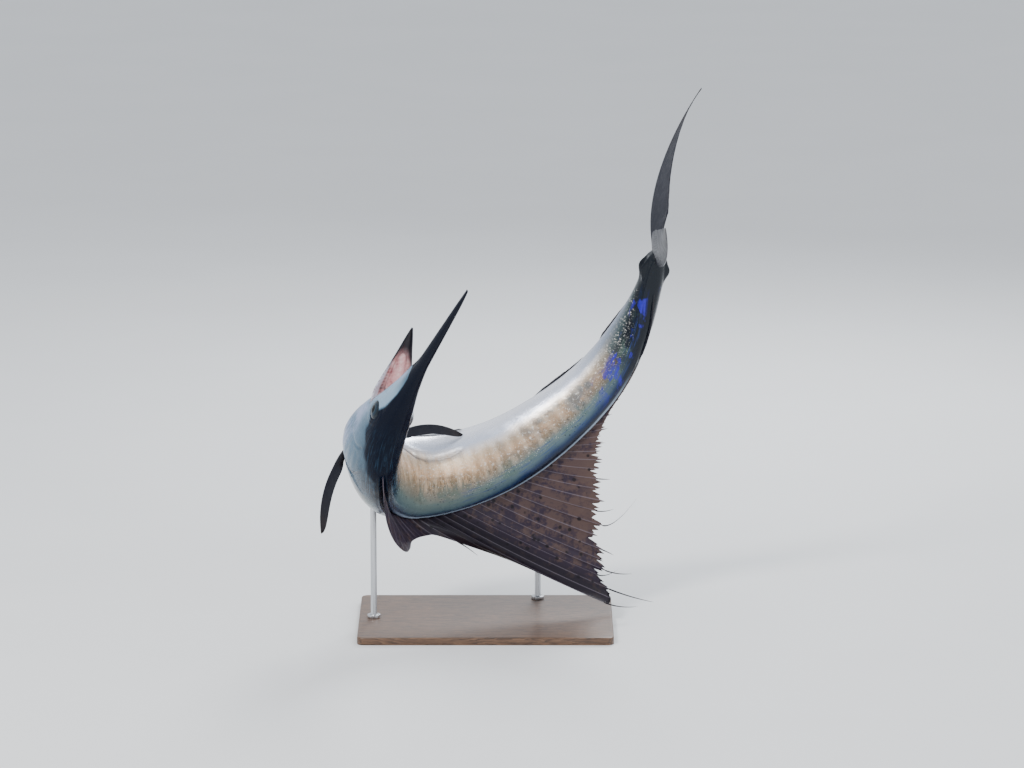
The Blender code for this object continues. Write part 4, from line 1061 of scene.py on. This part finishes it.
# The sail: rays leaning back from the groove, torn skin between them along the rear edge
sail = {"first": 0.208, "last": 0.790, "rays": 42, "rows": 46, "sunk": 0.0040, "bow": 0.056,
        "rayFoot": 0.0017, "rayTip": 0.0006, "skinFoot": 0.0008, "skinTip": 0.00030,
        "billow": 0.0016, "crumple": 0.0022, "spike": 0.003, "deepest": 0.3,
        "notch": (0.002, 0.007), "wideNotch": (0.003, 0.013), "ragged": 0.0077}

# share, lean of the ray back from upright in degrees, ray length as share of the length
sailTable = (
    (0.205, 24, 0.035), (0.235, 34, 0.075), (0.265, 41, 0.090), (0.295, 45, 0.078),
    (0.325, 47, 0.058), (0.355, 50, 0.048), (0.385, 54, 0.045), (0.40, 58, 0.072),
    (0.41, 60, 0.141), (0.42, 59, 0.231), (0.43, 58, 0.302), (0.445, 57, 0.292),
    (0.46, 55.7, 0.270), (0.48, 53.2, 0.243), (0.50, 50.4, 0.215), (0.52, 48.5, 0.186),
    (0.54, 48, 0.160), (0.56, 48.5, 0.135), (0.58, 49.3, 0.109), (0.60, 50.5, 0.087),
    (0.62, 53, 0.069), (0.64, 56, 0.055), (0.66, 58.5, 0.043), (0.68, 60, 0.030),
    (0.70, 62, 0.0195), (0.72, 69, 0.0125), (0.76, 74, 0.009), (0.79, 76, 0.006))
# root: metres that a thread starts inside the skin
threads = {"root": 0.012, "thick": 0.0018, "thickMore": 0.010, "curl": 9.0, "across": 8, "along": 16}
# ray number, free length beyond the skin as share of the length, curl
filaments = ((14, 0.034, -0.4), (16, 0.046, 0.5), (18, 0.070, 0.1), (19, 0.022, 2.4), (20, 0.036, 0.5),
             (22, 0.014, -0.5), (24, 0.034, 2.9), (25, 0.022, 1.2), (28, 0.012, 0.5))
sailLean, sailLong = curveOf(sailTable, 1, 0.2, 0.8, 601), curveOf(sailTable, 2, 0.2, 0.8, 601)


def chance(k, salt):  # the same spread of values from 0 to 1 every run
    return np.abs(np.sin(k * 12.9898 + salt * 78.233) * 43758.5453) % 1.0


def rayPlace(share, lean, length, v, side, sunk, bow):
    p, rear, dorsal, left = stationAt(share)
    dorsal, size, a = dorsal * side, fish["length"], np.radians(lean)
    later = stationAt(np.minimum(share + 0.5 * length * np.sin(a), fish["tailShare"]))[1]
    back = later - dorsal * (later * dorsal).sum(axis=-1, keepdims=True)
    way = unit(dorsal * np.cos(a)[:, None] + back * np.sin(a)[:, None])
    across = unit(dorsal - way * (dorsal * way).sum(axis=-1, keepdims=True))
    foot = p + dorsal * ((heightAt(share) if side > 0 else depthAt(share)) * size - sunk)[:, None]
    long = (length * size + sunk) * v
    return foot + way * long[:, None] + across * (bow * size * v * (1 - v))[:, None]


def sailMiddle(c, v):
    place = c * sail["rays"]
    share = sail["first"] + (sail["last"] - sail["first"]) * c
    gap = np.floor(place + 1e-6)
    between, pair = place - gap, (0.5 * place) % 1.0
    scallop = (4 * np.clip(between * (1 - between), 0, 1)) ** 0.6
    wide = (4 * pair * (1 - pair)) ** 0.8
    # torn skin: a small notch in each gap, a wider one over each pair of gaps
    (small, smallMore), (large, largeMore) = sail["notch"], sail["wideNotch"]
    notch = scallop * (small + smallMore * chance(gap, 1) ** 1.5)
    notch = notch + sail["ragged"] * np.sin(place * 21 + 3 * chance(gap, 5)) * scallop
    notch = notch + wide * (large + largeMore * chance(np.floor(0.5 * place + 1e-6), 3))
    length, torn = sailLong(share), ease(share, 0.435, 0.47)
    notch = np.minimum(notch, sail["deepest"] * length) - sail["spike"] * (scallop < 0.2)
    length = length - torn * notch
    spread = rayPlace(share, sailLean(share), length, v, 1, sail["sunk"], sail["bow"] * length)
    billow = sail["billow"] + sail["crumple"] * within(share, 0.36, 0.40, 0.44, 0.48)
    billow = billow * scallop * np.sin(math.pi * v) * np.sin(gap * 1.7)
    return spread + stationAt(share)[3] * billow[:, None]


def sailHalf(c, v):
    rays = ridge(c, sail["rays"])
    ray = sail["rayFoot"] * (1 - v) + sail["rayTip"] * v
    return rays * ray + (1 - rays) * (sail["skinFoot"] * (1 - v) + sail["skinTip"] * v)


def makeThread(number, free, curl):  # free end of a torn ray
    c = np.array([number / sail["rays"]])
    tip, before = (sailMiddle(c, np.array([v]))[0] for v in (1.0, 0.97))
    way = unit(tip - before)
    bend = unit(np.cross(way, stationAt(c)[3][0]))
    aside = unit(np.cross(way, bend))

    def shape(u, v):
        long, turn = free * fish["length"] * v, u * 2 * math.pi
        spine = tip + way * (long + threads["root"] * (v - 1))[:, None]
        spine = spine + bend * (curl * threads["curl"] * long ** 2)[:, None]
        thick = (threads["thick"] + threads["thickMore"] * free) * (1 - v) ** 0.6 * (v > 0)
        return spine + (bend * np.cos(turn)[:, None] + aside * np.sin(turn)[:, None]) * thick[:, None]

    return wrapGrid(gridPiece("thread" + str(number), threads["across"], threads["along"]), shape,
                    lambda u, v: {"ray": 0.0, "out": 0.0, "across": 0.40, "brown": 0.0}, sailSkin)


def makeSail():
    pieces = [finSheet("sailPiece", sail["rays"], sail["rows"], sailMiddle, sailHalf,
                       lambda c, v: ease(c, 0.44 + 0.07 * v, 0.52 + 0.07 * v), sailSkin)]
    return closeUp(joinPieces(pieces + [makeThread(*row) for row in filaments], "sailPiece"))


finishPiece(makeSail(), "sail_skin", "sail_front", "sail_fore", "sail_middle", "sail_aft", "sail_rear")


# Small fins on the midline, folded back along it
def foldedPlace(share, lean, length, v, side, sunk):
    a = np.radians(lean)
    later = np.minimum(share + length * np.sin(a) * v, fish["tailShare"])
    p, rear, dorsal, left = stationAt(later)
    reach = (heightAt(later) if side > 0 else depthAt(later)) * fish["length"]
    rise = fish["length"] * length * np.cos(a) * v - sunk * (1 - v)
    return p + dorsal * (side * (reach + rise))[:, None]


def midlineFin(name, first, last, rays, side, node, table):
    lean, long = (curveOf(table, k, table[0][0], table[-1][0], 101) for k in (1, 2))

    def middle(c, v):
        share = first + (last - first) * c
        length = long(share) * (1 - 0.07 * (1 - ridge(c, rays, 0.3)) * ease(v, 0.5, 1.0))
        return foldedPlace(share, lean(share), length, v, side, 0.003)

    def half(c, v):
        return 0.0004 * (1 - 0.4 * v) + (0.0005 + 0.0011 * (1 - v)) * ridge(c, rays, 0.16)

    return makeFin(name, node, {"rays": rays, "rows": 30}, middle, half)


# name, first and last share, rays, side, node, and a table of share, lean and length
midlineFins = (
    ("secondDorsal", 0.800, 0.872, 7, 1, "second_dorsal_fin",
     ((0.80, 82, 0.018), (0.82, 83, 0.030), (0.85, 84, 0.034), (0.875, 85, 0.045))),
    ("secondAnal", 0.792, 0.868, 7, -1, "anal_fin_second",
     ((0.79, 78, 0.018), (0.82, 80, 0.028), (0.85, 82, 0.030), (0.875, 84, 0.036))),
    ("firstAnal", 0.640, 0.735, 9, -1, "anal_fin_first",
     ((0.64, 84, 0.030), (0.66, 86, 0.055), (0.68, 87, 0.052), (0.72, 87, 0.030), (0.75, 87, 0.020))))
for row in midlineFins:
    midlineFin(*row)


# Sickle fins behind the gills
# way and spread: shares rearward, towards the back and outward; bow and length in metres
pectoral = {"rays": 14, "rows": 44, "thick": 0.0024, "broad": 0.031,
            "front": (0.263, 0.026), "rear": (0.289, 0.030)}
pectoralWays = {"Left": (1, (0.883, 0.337, 0.333), 0.320, (0.10, 0.476, -0.874), 0.026),
                "Right": (-1, (0.627, -0.150, 0.768), 0.304, (0.46, 0.85, -0.24), 0.034)}


def pectoralMiddle(word):
    side, way, long, spread, bow = pectoralWays[word]
    roots = []
    for share, height in (pectoral["front"], pectoral["rear"]):
        angle = (math.pi - angleAt(share, height, depthAt)) * side
        roots.append(spotOn(bodyPoint, share, angle) - spotOn(bodyNormal, share, angle) * 0.002)
    rear, dorsal, left = (axis[0] for axis in stationAt(np.array([pectoral["front"][0]]))[1:])
    way, spread = (unit(rear * w[0] + dorsal * w[1] + left * side * w[2]) for w in (way, spread))

    def middle(c, v):
        reach = v * (1 - 0.02 * (1 - ridge(c, pectoral["rays"], 0.3)) * ease(v, 0.8, 1.0))
        turn = ease(reach, 0.0, 0.28)
        broad = pectoral["broad"] * (1 - 0.15 * reach) * (1 - np.clip(reach, 0, 1) ** 7) ** 0.6
        lead = roots[0] + way * (long * reach)[:, None] - spread * (bow * 4 * reach * (1 - reach))[:, None]
        chord = (roots[1] - roots[0]) * (1 - turn)[:, None] + spread * (broad * turn)[:, None]
        return lead + chord * c[:, None]

    return middle


def makePectoral(word):
    def half(c, v):
        body = pectoral["thick"] * (1 - v) ** 0.8 * (1 - 0.6 * c) + 0.00035
        ray = ridge(c, pectoral["rays"], 0.18)
        return body * (0.72 + 0.28 * ray) + 0.0002 * ray

    return makeFin("pectoral" + word, "pectoral_fin_" + word.lower(), pectoral, pectoralMiddle(word), half)


# Long belly fins lying along their groove
pelvic = {"first": 0.272, "long": 0.235, "wide": 0.0054, "rays": 3, "rows": 90, "sunk": 0.003,
          "arch": 0.004}


def makePelvic(side, word):
    def middle(c, v):
        share = pelvic["first"] + pelvic["long"] * v
        p, rear, dorsal, left = stationAt(share)
        size = fish["length"]
        down, half = depthAt(share) * size, halfAt(share) * size
        lift = pelvic["arch"] * np.clip(np.sin(math.pi * v), 0, 1) ** 0.8 + 0.0022 * v
        lift = lift - pelvic["sunk"] * (1 - ease(v, 0, 0.05))
        wide = size * (pelvic["wide"] * (1 - v) ** 0.7 + 0.0006)
        aside = side * (size * (0.0085 - 0.002 * v) + (2 * c - 1) * wide)
        drop = down * (1 - (np.abs(aside) / half) ** 2.15) ** 0.465 + lift
        return p + left * aside[:, None] - dorsal * drop[:, None]

    def half(c, v):
        return 0.0005 + (0.0002 + 0.0016 * (1 - v)) * ridge(c, pelvic["rays"], 0.30)

    return makeFin("pelvic" + word, "pelvic_fin_" + word.lower(), pelvic, middle, half)


for word in ("Left", "Right"):
    makePectoral(word)
for side, word in ((1, "Left"), (-1, "Right")):
    makePelvic(side, word)

# Tail fin: two stiff sickle lobes on the end of the stalk
tail = {"rays": 15, "rows": 60, "thick": 0.0054,
        "Upper": {"side": 1, "sway": 0.0, "bend": -0.030, "power": 2.5, "twist": -0.30, "cup": -0.10,
                  "long": 0.95, "tall": 1.0},
        "Lower": {"side": -1, "sway": -0.046, "bend": 0.101, "power": 2.14, "twist": 0.27, "cup": 0.0,
                  "long": 1.128, "tall": 1.036}}
leadTable = ((0.0, -0.012, 0.0060), (0.08, 0.003, 0.030), (0.2, 0.016, 0.060), (0.4, 0.044, 0.100),
             (0.6, 0.080, 0.137), (0.8, 0.122, 0.172), (1.0, 0.1675, 0.2055))
trailTable = ((0.0, 0.014, 0.0000), (0.08, 0.030, 0.003), (0.2, 0.056, 0.025), (0.4, 0.086, 0.070),
              (0.6, 0.114, 0.116), (0.8, 0.143, 0.163), (1.0, 0.1660, 0.2040))
leadX, leadY, trailX, trailY = (curveOf(t, k) for t in (leadTable, trailTable) for k in (1, 2))


def lobeMiddle(word):  # each lobe is bent aside towards its tip and twisted about its leading edge
    lobe = tail[word]
    p, rear, dorsal, left = (a[0] for a in stationAt(np.array([fish["tailShare"]])))
    size = fish["length"]

    def middle(c, v):
        x = (leadX(v) * (1 - c) + trailX(v) * c) * lobe["long"]
        y = (leadY(v) * (1 - c) + trailY(v) * c) * lobe["tall"] * lobe["side"]
        fray = 0.0035 * ease(c, 0.75, 1.0) * np.sin(v * 62) * np.sin(v * 23 + 1) * (1 - v)
        chord = np.hypot(leadX(v) - trailX(v), leadY(v) - trailY(v))
        aside = lobe["sway"] * v + lobe["bend"] * v ** lobe["power"]
        aside = aside + lobe["twist"] * chord * c * np.clip(v / 0.2, 0, 1)
        aside = aside + lobe["cup"] * chord * np.sin(math.pi * c) * np.clip(v / 0.2, 0, 1)
        parts = ((rear, x + fray), (dorsal, y), (left, aside))
        return p + sum(axis * (amount * size)[:, None] for axis, amount in parts)

    return middle


def makeTailLobe(word):
    def half(c, v):
        root = tail["thick"] * (1 - v) ** 1.5 * (1 - 0.55 * c)
        rib = ridge(c, tail["rays"], 0.22)
        return root * (0.80 + 0.20 * rib) + 0.0005 * (1 - 0.5 * v) + 0.0003 * rib

    return makeFin("tail" + word, "tail_fin_" + word.lower(), tail, lobeMiddle(word), half)


for word in ("Upper", "Lower"):
    makeTailLobe(word)

# Display stand: walnut base, steel rods with a foot collar and a top ferrule
stand = {"long": 0.74, "deep": 0.50, "thick": 0.022, "corner": 0.020, "edge": 0.006, "foot": 0.0015,
         "rod": 0.009, "collar": 0.019, "collarTall": 0.010, "ferrule": 0.0118, "ferruleTall": 0.020,
         "ferruleDown": 0.020, "sunk": 0.004, "soft": 0.0009}


def makeWalnut():
    material, tree, shader = newMaterial("walnut", Roughness=0.42, Coat_Weight=0.25, Coat_Roughness=0.25)
    rings = noiseNode(tree, 5.0, 6.0, 0.6, (0.35, 4.5, 4.5))
    pores = noiseNode(tree, 60.0, 3.0, 0.5, (0.05, 3.0, 3.0))
    bands = mathNode("FRACT", times(rings, 16.0))
    color = rampNode(bands, ((0.0, (0.045, 0.022, 0.011)), (0.55, (0.12, 0.060, 0.030)),
                             (0.9, (0.16, 0.085, 0.045)), (1.0, (0.05, 0.024, 0.012))))
    color = mixNode(maskNode(pores, 0.60, 0.74), color, (0.02, 0.010, 0.006))
    setInputs(tree, shader, {"Base Color": color,
                             "Normal": bumpNode(plus(bands, pores), 0.15, 0.0006)})
    return material


def makeSteel():
    material, tree, shader = newMaterial("brushedSteel", Metallic=1.0)
    lines = noiseNode(tree, 260.0, 3.0, 0.6, (1.0, 1.0, 0.02))
    color = rampNode(lines, ((0.3, (0.42, 0.43, 0.45)), (0.7, (0.66, 0.67, 0.69))))
    rough = rangeNode(lines, 0.3, 0.7, 0.22, 0.38)
    setInputs(tree, shader, {"Base Color": color, "Roughness": rough,
                             "Normal": bumpNode(lines, 0.1, 0.0003)})
    return material


walnut, brushedSteel = makeWalnut(), makeSteel()


def pickEdges(piece, wanted):  # select the edges that a test on their two ends accepts
    mesh = piece.data
    setMode("EDIT")
    bpy.ops.mesh.select_mode(type="EDGE")
    bpy.ops.mesh.select_all(action="DESELECT")
    setMode("OBJECT")
    for edge in mesh.edges:
        a, b = (mesh.vertices[k].co for k in edge.vertices)
        edge.select = bool(wanted(a, b))
    setMode("EDIT")


def makeBase():
    deselectAll()
    bpy.ops.mesh.primitive_cube_add(size=1.0, location=(0, 0, stand["thick"] / 2),
                                    scale=(stand["long"], stand["deep"], stand["thick"]))
    base = newPiece("standBase")
    bpy.ops.object.transform_apply(location=True, rotation=True, scale=True)
    for offset, segments, profile, wanted in (
            (stand["corner"], 8, 0.5, lambda a, b: abs(a.z - b.z) > 0.01),
            (stand["edge"], 5, 0.6, lambda a, b: min(a.z, b.z) > stand["thick"] - 1e-5),
            (stand["foot"], 2, 0.5, lambda a, b: max(a.z, b.z) < 1e-5)):
        pickEdges(base, wanted)
        bpy.ops.mesh.bevel(offset=offset, segments=segments, profile=profile)
        setMode("OBJECT")
    pickOnly(base)
    bpy.ops.object.shade_smooth_by_angle(angle=math.radians(35))
    base.data.materials.append(walnut)
    return finishPiece(base, "stand_base", "stand_base")


def makeRod(node, name):
    low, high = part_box(node)
    x, y = (low[0] + high[0]) / 2, (low[1] + high[1]) / 2
    foot, top = stand["thick"], high[2] + stand["sunk"]
    near = top - stand["ferruleDown"]
    rod, collar, ferrule = stand["rod"], stand["collar"], stand["ferrule"]
    collarTop, ferruleFoot = foot + stand["collarTall"], near - stand["ferruleTall"]
    steps = ((rod * 0.9, foot + 0.0001), (collar, foot + 0.0001), (collar, collarTop), (rod, collarTop),
             (rod, ferruleFoot), (ferrule, ferruleFoot), (ferrule, near), (rod, near), (rod, top),
             (0.0, top))
    deselectAll()
    bpy.ops.mesh.primitive_circle_add(vertices=48, radius=steps[0][0], fill_type="NGON",
                                      location=(x, y, steps[0][1]))
    piece = newPiece(name)
    setMode("EDIT")
    bpy.ops.mesh.select_all(action="SELECT")
    for (wide, z), (nextWide, nextZ) in zip(steps[:-1], steps[1:]):
        bpy.ops.mesh.extrude_region_move(TRANSFORM_OT_translate={"value": (0, 0, nextZ - z)})
        scale = max(nextWide, 0.0002) / max(wide, 0.0002)
        bpy.ops.transform.resize(value=(scale, scale, 1.0), center_override=(x, y, nextZ))
    setMode("OBJECT")
    bpy.ops.object.transform_apply(location=True, rotation=True, scale=True)
    soften = piece.modifiers.new("soften", "BEVEL")
    soften.width = stand["soft"]
    soften.segments = 3
    soften.limit_method = "ANGLE"
    soften.angle_limit = math.radians(40)
    bpy.ops.object.modifier_apply(modifier="soften")
    closeUp(piece, 0.000005, smooth=False)
    bpy.ops.object.shade_smooth_by_angle(angle=math.radians(35))
    piece.data.materials.append(brushedSteel)
    return finishPiece(piece, "stand_rod", node)


makeBase()
makeRod("stand_rod_front", "rodFront")
makeRod("stand_rod_rear", "rodRear")

# Plain pale floor
floorLook = {"size": 90.0, "color": (0.80, 0.81, 0.82)}
deselectAll()
bpy.ops.mesh.primitive_plane_add(size=floorLook["size"], location=(0, 0, 0))
floorPiece = bpy.context.object
floorPiece.name = "studioFloor"
floorMaterial, floorTree, floorShader = newMaterial("floorPaint", Roughness=0.75)
floorColor = rampNode(noiseNode(floorTree, 1.5, 3.0, 0.5),
                      ((0.3, tuple(c * 0.98 for c in floorLook["color"])), (0.7, floorLook["color"])))
floorTree.links.new(floorColor, floorShader.inputs["Base Color"])
floorPiece.data.materials.append(floorMaterial)

# Soft studio light
lights = (
    # name, place, size, power, colour
    ("keyLight", (-2.6, -3.2, 4.6), 1.3, 235.0, (1.0, 0.98, 0.95)),
    ("fillLight", (3.6, -3.4, 2.4), 2.6, 70.0, (0.92, 0.96, 1.0)),
    ("rimLight", (1.2, 3.8, 3.6), 2.0, 190.0, (0.95, 0.98, 1.0)),
)
for name, spot, size, power, color in lights:
    lamp = bpy.data.lights.new(name, "AREA")
    lamp.shape = "DISK"
    lamp.size = size
    lamp.energy = power
    lamp.color = color
    lampObject = bpy.data.objects.new(name, lamp)
    bpy.context.scene.collection.objects.link(lampObject)
    lampObject.location = spot
    aim = Vector((0.0, -0.1, 0.7)) - Vector(spot)
    lampObject.rotation_euler = aim.to_track_quat("-Z", "Y").to_euler()
world = bpy.data.worlds.new("studioAir")
world.use_nodes = True
world.node_tree.nodes["Background"].inputs["Color"].default_value = (0.86, 0.90, 0.96, 1.0)
world.node_tree.nodes["Background"].inputs["Strength"].default_value = 1.0
bpy.context.scene.world = world

# Camera: a long lens twelve degrees above the fish, 14 m away
view = {"distance": 14.0, "elevation": 12.0, "lens": 174.1, "share": 0.125,
        "aside": (0.3336, 0.0159, 0.0747)}
tilt = math.radians(view["elevation"])
cameraData = bpy.data.cameras.new("camera")
cameraData.lens = view["lens"]
cameraData.sensor_width = 36.0
cameraData.clip_end = 200.0
camera = bpy.data.objects.new("camera", cameraData)
bpy.context.scene.collection.objects.link(camera)
target = Vector(stationAt(np.array([view["share"]]))[0][0]) + Vector(view["aside"])
camera.location = target + view["distance"] * Vector((0.0, -math.cos(tilt), math.sin(tilt)))
camera.rotation_euler = (math.pi / 2 - tilt, 0.0, 0.0)
bpy.context.scene.camera = camera
print("stage, lights and camera set")
